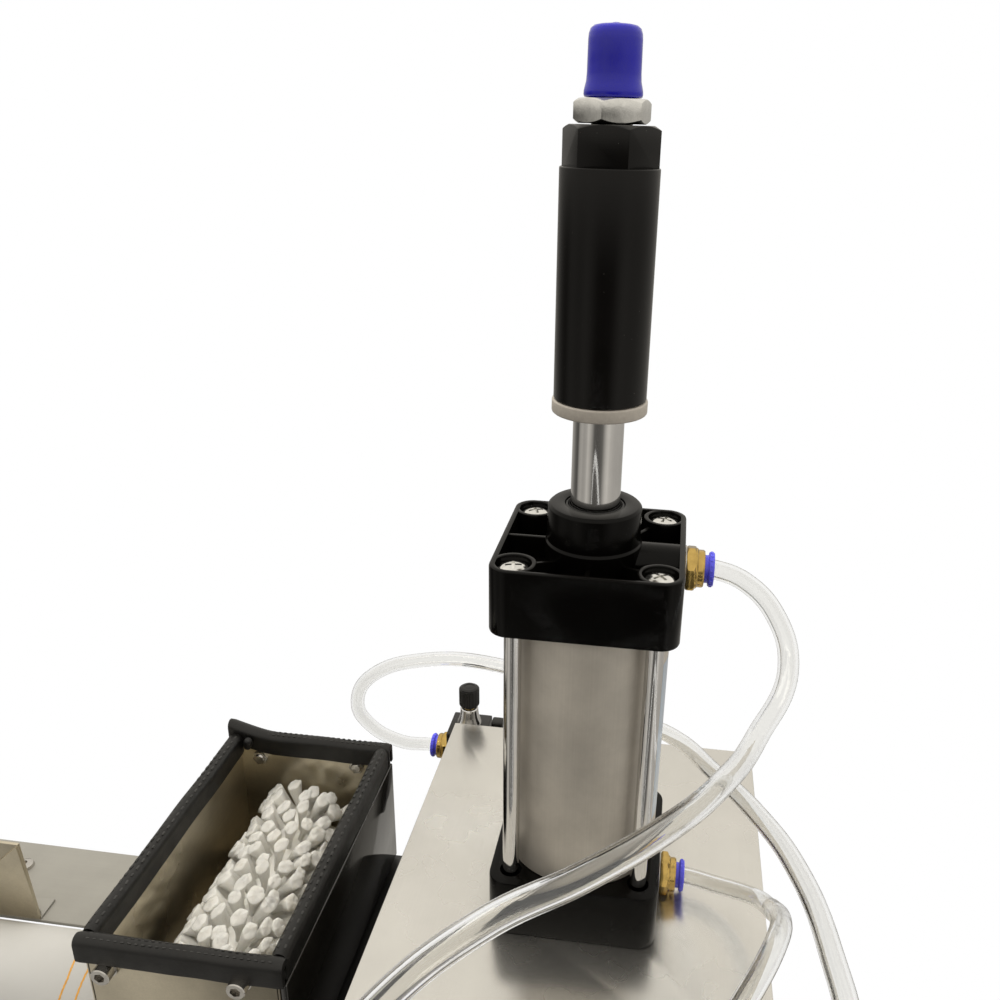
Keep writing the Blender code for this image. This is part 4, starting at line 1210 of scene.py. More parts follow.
    def build_rod(self) -> None:
        """Make the rod with its thread, the wipers and the pistons."""
        low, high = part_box("piston_rod")
        foot, end = low.z / MM, high.z / MM
        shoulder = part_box("adjuster_sleeve")[0].z / MM + 59.0
        profile = [(0, foot), (9, foot), (10, foot + 1), (10, shoulder - 1), (9, shoulder)]
        height = shoulder + 0.6
        while height < end - 1.6:
            profile += [(7.15, height), (7.95, height + 0.55), (7.95, height + 0.8)]
            height += 1.5
        profile += [(7.15, height), (7.1, end - 0.9), (6.3, end), (0, end)]
        Shape().turned(profile, 64).published(
            "chromed_rod", Look.CHROME, Body.ROD, ["piston_rod"], 24
        )
        for node, flip in (("rod_wiper_upper", 1), ("rod_wiper_lower", -1)):
            middle = centre(node).z / MM
            lip = [
                (10.3, -1.2 * flip), (11.9, -1.2 * flip), (11.9, 1.0 * flip), (11.1, 1.3 * flip),
                (10.7, 0.5 * flip), (10.25, 1.35 * flip),
            ]
            Shape().turned([(r, middle + z) for r, z in lip], 64).published(
                f"{node}_lip", Look.SEAL, Body.FRAME, [node]
            )
        refined("drive_piston", Look.VALVE, Body.ROD, 0.3)
        refined("metering_piston", Look.MACHINED, Body.ROD, 0.3)
        kept("piston_seal", Look.SEAL)
        kept("metering_seal", Look.SEAL)

    def build(self) -> None:
        """Make the whole cylinder."""
        self.build_caps()
        self.build_barrel()
        self.build_ties()
        self.build_rod()


# Stroke adjuster


@dataclass
class StrokeAdjuster:
    """The bumper ring, adjusting sleeve, lock nut and dipped cap on the rod's thread."""

    bumper_radius: float = 18.5
    sleeve_radius: float = 17.9
    sleeve_length: float = 83.3
    hex_radius: float = 17.5
    hex_height: float = 13.7
    hex_turn: float = -5.3
    nut_radius: float = 13.9
    nut_height: float = 8.0
    nut_turn: float = 19.0
    clear: float = 10.3
    thread: float = 8.3

    def build_bumper(self) -> None:
        """Make the pale ring that meets the boss."""
        low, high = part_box("bumper_ring")
        thick = (high.z - low.z) / MM
        outer = self.bumper_radius
        ring = [(self.clear, 0), (outer, 0), (outer, thick), (self.clear, thick)]
        Shape().turned(ring, 96, Matrix.Translation((0, 0, low.z)), soften=0.7, rings=3).published(
            "bumper", Look.BUMPER, Body.BUMPER, ["bumper_ring"]
        )

    def build_sleeve(self) -> None:
        """Make the black sleeve: a turned barrel under a hexagon with a coned top."""
        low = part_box("adjuster_sleeve")[0].z
        top = self.sleeve_length + self.hex_height
        barrel = Shape().turned(
            [
                (0, 0), (self.sleeve_radius, 0), (self.sleeve_radius, self.sleeve_length),
                (0, self.sleeve_length),
            ],
            96,
            soften=0.55,
            rings=3,
        )
        hexagon = Shape().prism(
            polygon(6, self.hex_radius, self.hex_turn), self.sleeve_length - 3, top
        )
        cone = Shape().turned(
            [(0, 70), (18.5, 70), (18.5, top - 2.1), (14.9, top + 0.001), (0, top + 0.001)], 96
        )
        hexagon.carved([cone], "INTERSECT").softened(0.22, 2, 20)
        bore = Shape().turned(
            [
                (0, -5), (self.clear, -5), (self.clear, 61), (self.thread, 61),
                (self.thread, top + 5), (0, top + 5),
            ],
            48,
        )
        bore_copy = Shape().joined(bore)
        whole = barrel.carved([bore]).joined(hexagon.carved([bore_copy]))
        whole.placed(Matrix.Translation((0, 0, low))).published(
            "sleeve", Look.SLEEVE, Body.ADJUSTER, ["adjuster_sleeve"], 28
        )

    def build_nut(self) -> None:
        """Make the lock nut, coned at both faces."""
        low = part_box("lock_nut")[0].z
        tall = self.nut_height
        nut = Shape().prism(polygon(6, self.nut_radius, self.nut_turn), 0, tall)
        cone = Shape().turned(
            [
                (0, 0), (11.7, 0), (14.4, 1.7), (14.4, tall - 1.7), (11.7, tall), (0, tall),
            ],
            96,
        )
        bore = Shape().turned(
            [(0, -5), (self.thread, -5), (self.thread, tall + 5), (0, tall + 5)], 48
        )
        nut.carved([cone], "INTERSECT").softened(0.25, 2, 22).carved([bore])
        nut.placed(Matrix.Translation((0, 0, low))).published(
            "hexagon_nut", Look.ZINC, Body.ADJUSTER, ["lock_nut"], 28
        )

    def build_cap(self) -> None:
        """Make the dipped vinyl cap with its rolled lip and the nub on its crown."""
        low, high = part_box("thread_cap")
        tall = (high.z - low.z) / MM
        outside = [
            (9.7, 0.0), (10.0, 0.25), (10.2, 0.9), (10.15, 2.0), (9.85, 3.4), (9.45, 5.0),
            (9.28, 7.5), (9.25, 12.0), (9.2, tall - 5.2), (9.05, tall - 3.4), (8.5, tall - 1.9),
            (7.4, tall - 1.0), (5.6, tall - 0.62), (3.2, tall - 0.5), (1.9, tall - 0.42),
            (1.35, tall - 0.1), (0.8, tall), (0, tall),
        ]
        inside = [(0, tall - 1.2), (6.5, tall - 1.2), (8.4, tall - 2.6), (8.4, 0.4), (8.9, 0.0)]
        Shape().turned(inside + outside, 72, Matrix.Translation((0, 0, low.z))).published(
            "dipped_cap", Look.THREAD_CAP, Body.THREAD_CAP, ["thread_cap"], 60
        )

    def build(self) -> None:
        """Make the whole stack."""
        self.build_bumper()
        self.build_sleeve()
        self.build_nut()
        self.build_cap()


# Air fittings and hoses


@dataclass
class AirPort:
    """A push-in fitting with its release collar, on a seat."""

    name: str
    seat: Point3
    direction: Point3
    hexagon: float = 9.9
    turn: float = 8.0

    @property
    def place(self) -> Matrix:
        """The seat's frame: +Z points out along the hose."""
        return towards(self.direction, self.seat)

    def build(self) -> None:
        """Make the fitting with its tape, and the collar."""
        node = f"{self.name}_fitting"
        Shape().turned(
            [(0, -8), (7.9, -8), (8.1, -0.2), (8.9, 0.05), (9.2, 0.35), (8.6, 0.7), (0, 0.7)],
            48,
            self.place,
        ).published(f"{self.name}_tape", Look.TAPE, Body.FRAME)
        hexagon = Shape().prism(polygon(6, self.hexagon, self.turn), 0.8, 4.4)
        cone = Shape().turned(
            [(0, 0.8), (9.0, 0.8), (10.2, 1.7), (10.2, 3.5), (9.0, 4.4), (0, 4.4)], 64
        )
        hexagon.carved([cone], "INTERSECT").softened(0.2, 2, 22)
        body = Shape().turned(
            [
                (6.0, 4.0), (8.3, 4.0), (8.35, 4.9), (7.9, 5.3), (7.7, 5.5), (7.7, 7.4),
                (7.3, 8.0), (6.2, 8.15), (6.0, 7.6),
            ],
            72,
        )
        whole = hexagon.joined(body).placed(self.place)
        whole.published(node + "_body", Look.BRASS, Body.FRAME, [node], 28)
        collar = Shape().turned(
            [
                (4.35, 5.8), (5.7, 5.8), (5.7, 9.6), (6.7, 9.7), (7.1, 10.1), (7.1, 11.4),
                (6.7, 11.9), (5.6, 12.0), (5.2, 11.5), (4.35, 11.5),
            ],
            64,
        )
        for step in range(20):
            spin = Matrix.Rotation(step * PI / 10, 4, "Z")
            collar.block((6.8, -0.38, 10.2), (7.3, 0.38, 11.3), spin, soften=0.12, rings=1)
        collar.placed(self.place).published(
            f"{self.name}_ring", Look.COLLAR, f"{self.name}_collar", [f"{self.name}_collar"]
        )


@dataclass
class Hose:
    """A length of clear 8 mm air hose between two fittings."""

    node: str
    length: float
    route: list[Point3]
    radius: float = 4.0
    wall: float = 1.3

    def build(self) -> None:
        curve = bpy.data.curves.new(f"{self.node}_tube", "CURVE")
        curve.dimensions = "3D"
        curve.resolution_u = 14
        curve.bevel_depth = self.radius * MM
        curve.bevel_resolution = 10
        spline = curve.splines.new("BEZIER")
        spline.bezier_points.add(len(self.route) - 1)
        for point, (x, y, z) in zip(spline.bezier_points, self.route):
            point.co = (x * MM, y * MM, z * MM + DECK)
            point.handle_left_type = point.handle_right_type = "AUTO"
        tube = bpy.data.objects.new(f"{self.node}_tube", curve)
        bpy.context.scene.collection.objects.link(tube)
        wall = tube.modifiers.new("wall", "SOLIDIFY")
        wall.thickness = self.wall * MM
        wall.offset = -1
        wall.use_rim = True
        dress(tube, Look.HOSE, Body.FRAME, [self.node])


UPPER_ROUTE = [
    (39.3, 0, 170.1), (50, 0, 170.1), (63, -4, 167), (74.5, -14, 158.5), (79, -32, 147),
    (66.5, -64.5, 137), (52, -104, 145), (34, -139, 154), (14, -164, 158), (-8, -182, 157),
    (-29, -201, 148), (-46, -213, 124), (-54, -211, 90), (-46, -190, 50), (-34, -162, 15),
    (-24, -142, -12), (-20, -135, -38), (-20, -135, -60), (-20, -135, -78.2),
]

LOWER_ROUTE = [
    (39.3, 0, 10.1), (50, 0, 10.1), (63, -4, 11), (79, -17, 19), (85, -37, 32), (81, -61, 55),
    (81, -80, 69), (77, -99, 78), (66, -123, 78), (51, -143, 68), (34, -152, 48),
    (18, -149, 21), (8, -140, -11), (6, -136, -36), (6, -135, -60), (6, -135, -78.2),
]

SUPPLY_ROUTE = [
    (-95.8, 127.3, -27), (-107, 127.3, -27), (-124, 122, -23), (-142, 114, -6),
    (-145, 106, 16), (-133, 102, 37), (-101, 101, 51), (-58, 96, 55), (-23, 84, 53),
    (8, 64, 54), (40, 34, 63), (58, -3, 73), (73, -41, 84), (84, -74, 90), (91, -114, 93),
    (92, -153, 91), (82, -178, 79), (62, -190, 54), (45, -181, 25), (36, -152, -11),
    (33, -139, -36), (32, -135, -60), (32, -135, -78.2),
]


@dataclass
class AirLine:
    """The three hoses and the fittings at both ends of each."""

    port_x: float = 37.5
    valve_y: float = -135.0
    valve_x: tuple[float, float, float] = (-20.0, 6.0, 32.0)

    def ports(self) -> list[AirPort]:
        """Every fitting, with its seat in metres.

        Returns:
            The ports.
        """
        valve_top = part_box("directional_valve")[1].z
        found = [
            AirPort("upper", (self.port_x * MM, 0, DECK + 170.1 * MM), (1, 0, 0), turn=12),
            AirPort("lower", (self.port_x * MM, 0, DECK + 10.1 * MM), (1, 0, 0), turn=24),
            AirPort("rear", (-94 * MM, 127.3 * MM, DECK - 27 * MM), (-1, 0, 0), turn=5),
        ]
        for number, x in enumerate(self.valve_x, start=1):
            seat = (x * MM, self.valve_y * MM, valve_top)
            found.append(AirPort(f"valve_{number}", seat, (0, 0, 1), turn=11 * number))
        return found

    def build(self) -> None:
        """Make all fittings and hoses."""
        for port in self.ports():
            port.build()
        Hose("hose_upper", 0.538, UPPER_ROUTE).build()
        Hose("hose_lower", 0.366, LOWER_ROUTE).build()
        Hose("hose_supply", 0.721, SUPPLY_ROUTE).build()


@dataclass
class Valves:
    """The speed control valve behind the plate and the directional valve in front of it."""

    axis: Point2 = (-82.0, 127.3)
    knob_radius: float = 6.2

    def build_control(self) -> None:
        """Make the speed control valve's body, bonnet, stem and fluted knob."""
        x, y = self.axis
        place = Matrix.Translation((x * MM, y * MM, DECK))
        low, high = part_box("control_valve_body")
        body = Shape().block(
            (-12, -12, (low.z - DECK) / MM), (12, 12, (high.z - DECK) / MM), place, 0.8, 3
        )
        body.block((14.5, -5.5, -9.0), (21.5, 1.5, -2.2), place, 1.2, 3)
        body.block((11.0, -3.0, -14.0), (16.5, 0.2, -9.4), place, 0.5, 2)
        body.published("speed_valve_body", Look.KNOB, Body.FRAME, ["control_valve_body"])
        bonnet = [
            (3.3, -8.7), (7.6, -8.7), (7.6, -6.6), (7.2, -5.2), (6.3, -3.4), (5.8, -1.4),
            (5.5, 1.4), (5.4, 3.4), (4.9, 4.0), (3.3, 4.0),
        ]
        Shape().turned(bonnet, 64, place, 0.15).published(
            "valve_bonnet_cone", Look.CHROME, Body.FRAME, ["valve_bonnet"]
        )
        stem = [(0, -8.4), (2.6, -8.4), (2.85, -8), (2.85, 5.0), (2.85, 12.4), (0, 12.4)]
        Shape().turned(stem, 40, place).published(
            "knob_spindle", Look.STEM, Body.NEEDLE, ["knob_stem"]
        )
        outline = []
        for step in range(144):
            angle = 2 * PI * step / 144
            flute = 0.42 * abs(math.sin(angle * 12)) ** 0.6
            radius = self.knob_radius - 0.42 + flute
            outline.append((radius * math.cos(angle), radius * math.sin(angle)))
        knob = Shape().prism(outline, 6.1, 17.2)
        knob.carved(
            [
                Shape().turned(
                    [
                        (0, 5.8), (5.4, 5.8), (6.4, 6.8), (6.4, 16.4), (5.9, 17.6), (0, 17.6),
                    ],
                    96,
                )
            ],
            "INTERSECT",
        )
        knob.turned(
            [
                (3.0, 5.7), (5.0, 5.7), (5.55, 6.3), (5.55, 16.6),
                (5.3, 17.7), (4.5, 18.3), (3.6, 18.4), (3.0, 18.4),
            ],
            96,
        )
        knob.turned([(0, 12.9), (3.2, 12.9), (3.2, 18.1), (2.9, 18.25), (0, 18.25)], 48)
        knob.placed(place).published("fluted_knob", Look.KNOB, Body.KNOB, ["control_knob"], 40)

    def build_directional(self) -> None:
        """Make the directional valve with its end caps, seams and screws."""
        low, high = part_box("directional_valve")
        x0, y0, z0 = (value / MM for value in low)
        x1, y1, z1 = (value / MM for value in high)
        body = Shape().block((x0 + 9, y0, z0), (x1 - 9, y1, z1), soften=1.0, rings=3)
        body.block((x0 + 8.2, y0 + 1.2, z0 + 1.2), (x0 + 10, y1 - 1.2, z1 - 1.2))
        body.block((x1 - 10, y0 + 1.2, z0 + 1.2), (x1 - 8.2, y1 - 1.2, z1 - 1.2))
        body.published("valve_block", Look.VALVE, Body.FRAME, ["directional_valve"])
        caps = Shape()
        caps.block((x0, y0 + 0.6, z0 + 0.6), (x0 + 8.4, y1 - 0.6, z1 - 0.6), soften=2.2, rings=4)
        caps.block((x1 - 8.4, y0 + 0.6, z0 + 0.6), (x1, y1 - 0.6, z1 - 0.6), soften=2.2, rings=4)
        caps.published("valve_end_caps", Look.KNOB, Body.FRAME)
        screws = Shape()
        middle = (z0 + z1) / 2
        for end, side in ((x0, -1), (x1, 1)):
            for y, z in ((y0 + 7, z0 + 7), (y1 - 7, z1 - 7), (y0 + 7, z1 - 7), (y1 - 7, z0 + 7)):
                head = [(0, -2), (2.7, -2), (2.7, 0.9), (2.3, 1.3)]
                head += [(1.5, 1.3), (1.5, -0.8), (0, -0.8)]
                where = towards((side, 0, 0), (end * MM, y * MM, z * MM))
                screws.turned(head, 24, where)
        for x in (x0 + 20, x1 - 20):
            head = [(0, -2), (3.2, -2), (3.2, 1.2), (2.7, 1.7), (1.7, 1.7), (1.7, -0.6), (0, -0.6)]
            screws.turned(head, 28, towards((0, -1, 0), (x * MM, y0 * MM, middle * MM)))
        screws.published("valve_screws", Look.BOLT, Body.FRAME)

    def build(self) -> None:
        """Make both valves."""
        self.build_control()
        self.build_directional()


# Cabinet and metering pump


@dataclass
class Cabinet:
    """The top plate, folded shell, front panel with its screws, and the base."""

    screw_inset: float = 9.0

    def build(self) -> None:
        """Make the cabinet's panels."""
        refined("base_plate", Look.SHEET, Body.FRAME, 0.8)
        refined("cabinet_shell", Look.SHEET, Body.FRAME, 0.5)
        refined("front_panel", Look.SHEET, Body.FRAME, 0.4)
        refined("top_plate", Look.PLATE, Body.FRAME, 0.5, 3)
        low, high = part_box("front_panel")
        screws = Shape()
        inset = self.screw_inset * MM
        for x in (low.x + inset, high.x - inset):
            for z in (low.z + inset, (low.z + high.z) / 2, high.z - inset):
                head = [(0, -1), (3.6, -1), (3.6, 0.4), (3.1, 1.2)]
                head += [(1.9, 1.7), (1.3, 1.75), (1.3, 0.4), (0, 0.4)]
                screws.turned(head, 32, towards((0, -1, 0), (x, low.y, z)))
        screws.published("panel_screws", Look.BOLT, Body.FRAME)
        low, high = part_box("base_plate")
        bolts = Shape()
        for x in (-97, 97):
            for y in (-114, 124):
                bolts.turned(
                    [(4.7, 0), (8.5, 0), (8.5, 1.2), (8.2, 1.5), (4.7, 1.5)],
                    40,
                    Matrix.Translation((x * MM, y * MM, high.z)),
                )
        bolts.published("base_washers", Look.ZINC, Body.FRAME)


@dataclass
class Pump:
    """The metering pump under the plate: flange, cylinder, block, pipes and poppets."""

    def build(self) -> None:
        """Make the pump's parts from their CAD forms with eased edges."""
        refined("adapter_flange", Look.VALVE, Body.FRAME, 0.5)
        refined("metering_block", Look.MACHINED, Body.FRAME, 0.5)
        for node, body in (
            ("metering_cylinder", Body.FRAME),
            ("inlet_pipe", Body.FRAME),
            ("outlet_pipe", Body.FRAME),
            ("inlet_poppet", Body.INLET_CHECK),
            ("outlet_poppet", Body.OUTLET_CHECK),
        ):
            refined(node, Look.MACHINED, body, 0.25)


# Brush trough and side deck


@dataclass
class BrushUnit:
    """The trough with its rubber edging, gloss cover, bracket, bolts and tufted brush."""

    axis_x: float = -156.5
    axis_z: float = -30.0
    brush_radius: float = 28.0
    core: float = 13.0
    wall: float = 1.5
    outer: tuple[float, float, float, float] = (-199.0, -114.0, -85.0, 62.0)
    floor: float = -66.8
    rim: float = 17.2
    trim_width: float = 7.6
    trim_low: float = 8.0
    trim_high: float = 20.0
    tuft_rows: int = 17
    tufts_round: int = 14
    seed: int = 11

    def build_walls(self) -> None:
        """Make the trough from five sheets and its two shaft bearings."""
        x0, x1, y0, y1 = self.outer
        wall, low, high = self.wall, self.floor, self.rim
        up = Matrix.Translation((0, 0, DECK))
        sheets = Shape()
        sheets.block((x0, y0, low), (x1, y1, low + wall), up, 0.3)
        sheets.block((x0, y0, low + 0.4), (x0 + wall, y1, high), up, 0.3)
        sheets.block((x1 - wall, y0, low + 0.4), (x1, y1, high), up, 0.3)
        sheets.block((x0 + 0.4, y0, low + 0.4), (x1 - 0.4, y0 + wall, high), up, 0.3)
        sheets.block((x0 + 0.4, y1 - wall, low + 0.4), (x1 - 0.4, y1, high), up, 0.3)
        sheets.published("trough_sheets", Look.TROUGH, Body.FRAME, ["brush_trough"])
        bearings = Shape()
        for y, side in ((y0, -1), (y1, 1)):
            ring = [(5.3, -0.2), (10.5, -0.2), (10.5, 2.4), (9.9, 3.0), (5.3, 3.0)]
            where = (self.axis_x * MM, y * MM, DECK + self.axis_z * MM)
            bearings.turned(ring, 48, towards((0, side, 0), where))
        bearings.published("shaft_bearings", Look.MACHINED, Body.FRAME)

    def strip(self, start: Point2, stop: Point2, kink: float = 0.0) -> Shape:
        """A length of edge trim with a rounded top and a slot for the sheet.

        Args:
            start: Where its middle line starts in plan.
            stop: Where it ends.
            kink: How far its start lifts.

        Returns:
            The shape.
        """
        along = Vector((stop[0] - start[0], stop[1] - start[1], 0))
        length = along.length
        along.normalize()
        half = self.trim_width / 2
        section = [(-half + 0.1, self.trim_low), (-half, self.trim_low + 1.0)]
        for step in range(13):
            angle = PI - PI * step / 12
            section.append(
                (half * math.cos(angle), self.trim_high - 3.6 + 3.6 * math.sin(angle))
            )
        section += [(half, self.trim_low + 1.0), (half - 0.1, self.trim_low)]
        section += [(1.3, self.trim_low), (1.3, self.trim_high - 3.4)]
        section += [(-1.3, self.trim_high - 3.4), (-1.3, self.trim_low)]
        steps = max(8, int(length / 2.2))
        across = Vector((-along.y, along.x, 0))
        form = bmesh.new()
        loops = []
        for step in range(steps + 1):
            share = step / steps
            wave = 0.35 * math.sin(share * 9.0 + start[0]) + 0.2 * math.sin(share * 23.0)
            lift = kink * max(0.0, 1 - share * 3.4) ** 1.6 + 0.18 * math.sin(share * 14)
            centre_line = Vector((start[0], start[1], lift)) + along * (length * share)
            taper = 0.9 if step in (0, steps) else 1.0
            loop = []
            for side, height in section:
                spot = centre_line + across * (side * taper + wave * 0.4)
                spot.z += height - (0.4 if step in (0, steps) and height > 12 else 0.0)
                loop.append(form.verts.new((spot.x * MM, spot.y * MM, DECK + spot.z * MM)))
            loops.append(loop)
        form.faces.new(loops[0])
        form.faces.new(loops[-1])
        count = len(section)
        for one, two in zip(loops, loops[1:]):
            for k in range(count):
                form.faces.new((one[k], one[(k + 1) % count], two[(k + 1) % count], two[k]))
        Shape.closed(form)
        return Shape().take(form)

    def stitches(self, start: Point2, stop: Point2, pitch: float, size: Point3) -> Shape:
        """Small pads in a row along the top of a length of trim.

        Args:
            start: Where the row starts in plan.
            stop: Where it ends.
            pitch: Their spacing.
            size: Length along the row, width and height above the trim.

        Returns:
            The shape.
        """
        along = Vector((stop[0] - start[0], stop[1] - start[1], 0))
        count = int(along.length / pitch)
        turn = Matrix.Rotation(math.atan2(along.y, along.x), 4, "Z")
        rng = random.Random(count)
        row = Shape()
        for step in range(count):
            spot = Vector((*start, 0)) + along * ((step + 0.5) / count)
            where = Matrix.Translation(
                (spot.x * MM, spot.y * MM, DECK + (self.trim_high - 0.35) * MM)
            )
            tilt = Matrix.Rotation(rng.uniform(-0.12, 0.12), 4, "Z")
            length, width, height = size
            length *= rng.uniform(0.8, 1.1)
            row.block(
                (-length / 2, -width / 2, -0.4), (length / 2, width / 2, height + 0.35),
                where @ turn @ tilt,
                0.3,
                2,
            )
        return row

    def build_trim(self) -> None:
        """Make the four lengths of rubber edging and their rows of pads."""
        x0, x1, y0, y1 = self.outer
        half = self.trim_width / 2
        left, right = x0 + 1.0, x1 - 1.0
        front, back = y0 + 1.0, y1 - 1.0
        edging = self.strip((left, front + half - 0.5), (left, back - half + 0.5))
        edging.joined(self.strip((right, front + half - 0.5), (right, back - half + 0.5)))
        edging.joined(self.strip((left - half, front), (right + half, front)))
        edging.joined(self.strip((left - half - 0.6, back), (right + half, back), 6.5))
        edging.published("trim_lengths", Look.TRIM, Body.FRAME, ["trough_trim"], 45)
        pads = Shape()
        for x in (left, right):
            for side in (-1.5, 1.5):
                start, stop = (x + side, front + 5), (x + side, back - 5)
                pads.joined(self.stitches(start, stop, 4.5, (2.4, 1.1, 0.12)))
        for y in (front, back):
            for side in (-1.3, 1.3):
                first = left + (16 if y == back else 1)
                pads.joined(
                    self.stitches((first, y + side), (right, y + side), 3.0, (1.7, 0.7, 0.1))
                )
        pads.published("trim_pads", Look.TRIM_PAD, Body.FRAME, (), 45)

    def build_cover(self) -> None:
        """Make the gloss side cover and the bracket below it."""
        low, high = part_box("trough_cover")
        Shape().block(tuple(low / MM), tuple(high / MM), soften=0.6, rings=3).published(
            "gloss_cover", Look.COVER, Body.FRAME, ["trough_cover"]
        )
        refined("trough_bracket", Look.BLACK_STEEL, Body.FRAME, 0.5)
        low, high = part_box("trough_bracket")
        heads = Shape()
        for y in (low.y + 0.02, (low.y + high.y) / 2, high.y - 0.02):
            heads.joined(self.bolt_head(4.2), towards((-1, 0, 0), (low.x, y, low.z + 0.009)))
        heads.published("bracket_bolts", Look.BOLT, Body.FRAME)

    def bolt_head(self, radius: float) -> Shape:
        """A socket-head bolt's head, its seat at height 0.

        Args:
            radius: The head's radius.

        Returns:
            The shape.
        """
        tall = radius * 1.2
        head = Shape().turned(
            [(0, -1.5), (radius, -1.5), (radius, tall - 0.4), (radius - 0.4, tall), (0, tall)], 40
        )
        socket = Shape().prism(polygon(6, radius * 0.58, 15), tall - radius * 0.85, tall + 2)
        return head.carved([socket])

    def build_bolts(self) -> None:
        """Make the bolts, nuts and washers in the trough's end walls."""
        near = Shape()
        for x, z in ((-189.6, 4.2), (-130.3, 6.9)):
            where = towards((0, -1, 0), (x * MM, self.outer[2] * MM, DECK + z * MM))
            washer = Shape().turned([(2.6, 0), (4.8, 0), (4.8, 0.8), (2.6, 0.8)], 32)
            near.joined(washer, where)
            near.joined(self.bolt_head(4.2), where @ Matrix.Translation((0, 0, 0.8 * MM)))
        near.published("near_bolts", Look.BOLT, Body.FRAME, (), 28)
        far = Shape()
        for x, z in ((-186.4, 3.4), (-130.5, 4.4)):
            where = towards((0, -1, 0), (x * MM, (self.outer[3] - self.wall) * MM, DECK + z * MM))
            far.turned([(0, -1), (3.0, -1), (3.0, 2.2), (2.4, 3.0), (0, 3.3)], 28, where)
            far.prism(polygon(6, 4.4, 10), 0, 1.8, where, 0.2)
        far.published("far_bolts", Look.BOLT, Body.FRAME, (), 28)
        tie = Shape()
        where = towards((0.35, -0.5, 0.8), (-190.5 * MM, 55.5 * MM, DECK + 16 * MM))
        tie.turned([(0, -6), (2.2, -6), (2.4, 1), (1.8, 3.2), (0.9, 4.0), (0, 4.1)], 20, where)
        tie.published("tie_end", Look.SEAL, Body.FRAME)

    def tuft(self, rng: random.Random) -> bmesh.types.BMesh:
        """One fluted bundle of crinkled bristle that stands on +Z and flares.

        Args:
            rng: The source of its irregularities.

        Returns:
            The bundle.
        """
        form = bmesh.new()
        layer = form.verts.layers.float_vector.new("fibre")
        around = 20
        length = (self.brush_radius - self.core + 1.0) * rng.uniform(0.9, 1.02)
        root, tip = rng.uniform(1.9, 2.3), rng.uniform(4.3, 5.2)
        flat = rng.uniform(0.6, 0.85)
        lean = Vector((rng.uniform(-3.4, 3.4), rng.uniform(-3.2, 3.2), 0))
        phase = rng.uniform(0, 6.28)
        key = rng.uniform(0, 50)
        profile = [(0, 0), (0.2, 0.06), (0.42, 0.24), (0.64, 0.5), (0.82, 0.78)]
        profile += [(0.93, 0.95), (0.975, 1.0), (1.0, 0.9), (1.008, 0.5)]
        loops = []
        for share, spread in profile:
            radius = root + (tip - root) * spread
            spine = lean * share**1.8
            loop = []
            for k in range(around):
                angle = 2 * PI * k / around
                flute = 1 + 0.05 * math.sin(angle * 5 + phase) + 0.08 * math.sin(angle * 2 + phase)
                if share > 1.0:
                    flute *= 0.62
                spot = Vector(
                    (
                        spine.x + radius * flute * math.cos(angle),
                        spine.y + radius * flute * flat * math.sin(angle),
                        -1.0 + length * share,
                    )
                )
                if share > 0.9:
                    spot.z += 0.25 * math.sin(angle * 3 + key) + 0.15 * math.sin(angle * 7 + phase)
                vert = form.verts.new(spot * MM)
                vert[layer] = (key + math.cos(angle) * 3, math.sin(angle) * 3, share * 0.8)
                loop.append(vert)
            loops.append(loop)
        crown = form.verts.new((lean.x * MM, lean.y * MM, (length * 1.012 - 0.9) * MM))
        crown[layer] = (key, 0.6, 0.8)
        form.faces.new(loops[0][::-1])
        for one, two in zip(loops, loops[1:]):
            for k in range(around):
                form.faces.new((one[k], one[(k + 1) % around], two[(k + 1) % around], two[k]))
        for k in range(around):
            form.faces.new((loops[-1][k], loops[-1][(k + 1) % around], crown))
        return form

    def build_brush(self) -> None:
        """Make the brush: a shaft and core, with rows of tufts round it."""
        low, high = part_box("brush_roller")
        length = (high.y - low.y) / MM
        along = towards((0, 1, 0), (self.axis_x * MM, low.y, DECK + self.axis_z * MM))
        start, stop = 16.0, length - 19.0
        Shape().turned(
            [
                (0, 0), (4.6, 0), (5, 0.5), (5, start - 0.2),
                (5, length - 0.5), (4.6, length), (0, length),
            ],
            40,
            along,
        ).published("brush_shaft", Look.MACHINED, Body.BRUSH)
        Shape().turned(
            [
                (5.2, start), (self.core - 0.8, start), (self.core, start + 0.8),
                (self.core, stop - 0.8), (self.core - 0.8, stop), (5.2, stop),
            ],
            64,
            along,
        ).published("brush_core", Look.NYLON, Body.BRUSH)
        rng = random.Random(self.seed)
        bundles = Shape()
        rows = self.tuft_rows
        pitch = (stop - start - 6) / (rows - 1)
        for row in range(rows):
            for k in range(self.tufts_round):
                angle = 2 * PI * (k + 0.5 * (row % 2)) / self.tufts_round + rng.uniform(-0.05, 0.05)
                height = start + 3 + row * pitch + rng.uniform(-0.7, 0.7)
                spin = Matrix.Rotation(angle, 4, "Z")
                stand = Matrix.Translation((self.core * MM, 0, height * MM)) @ towards((1, 0, 0))
                bundles.take(self.tuft(rng), along @ spin @ stand)
        bundles.published("brush_tufts", Look.NYLON, Body.BRUSH, ["brush_roller"], 85)

    def build(self) -> None:
        """Make the whole brush unit."""
        self.build_walls()
        self.build_trim()
        self.build_cover()
        self.build_bolts()
        self.build_brush()


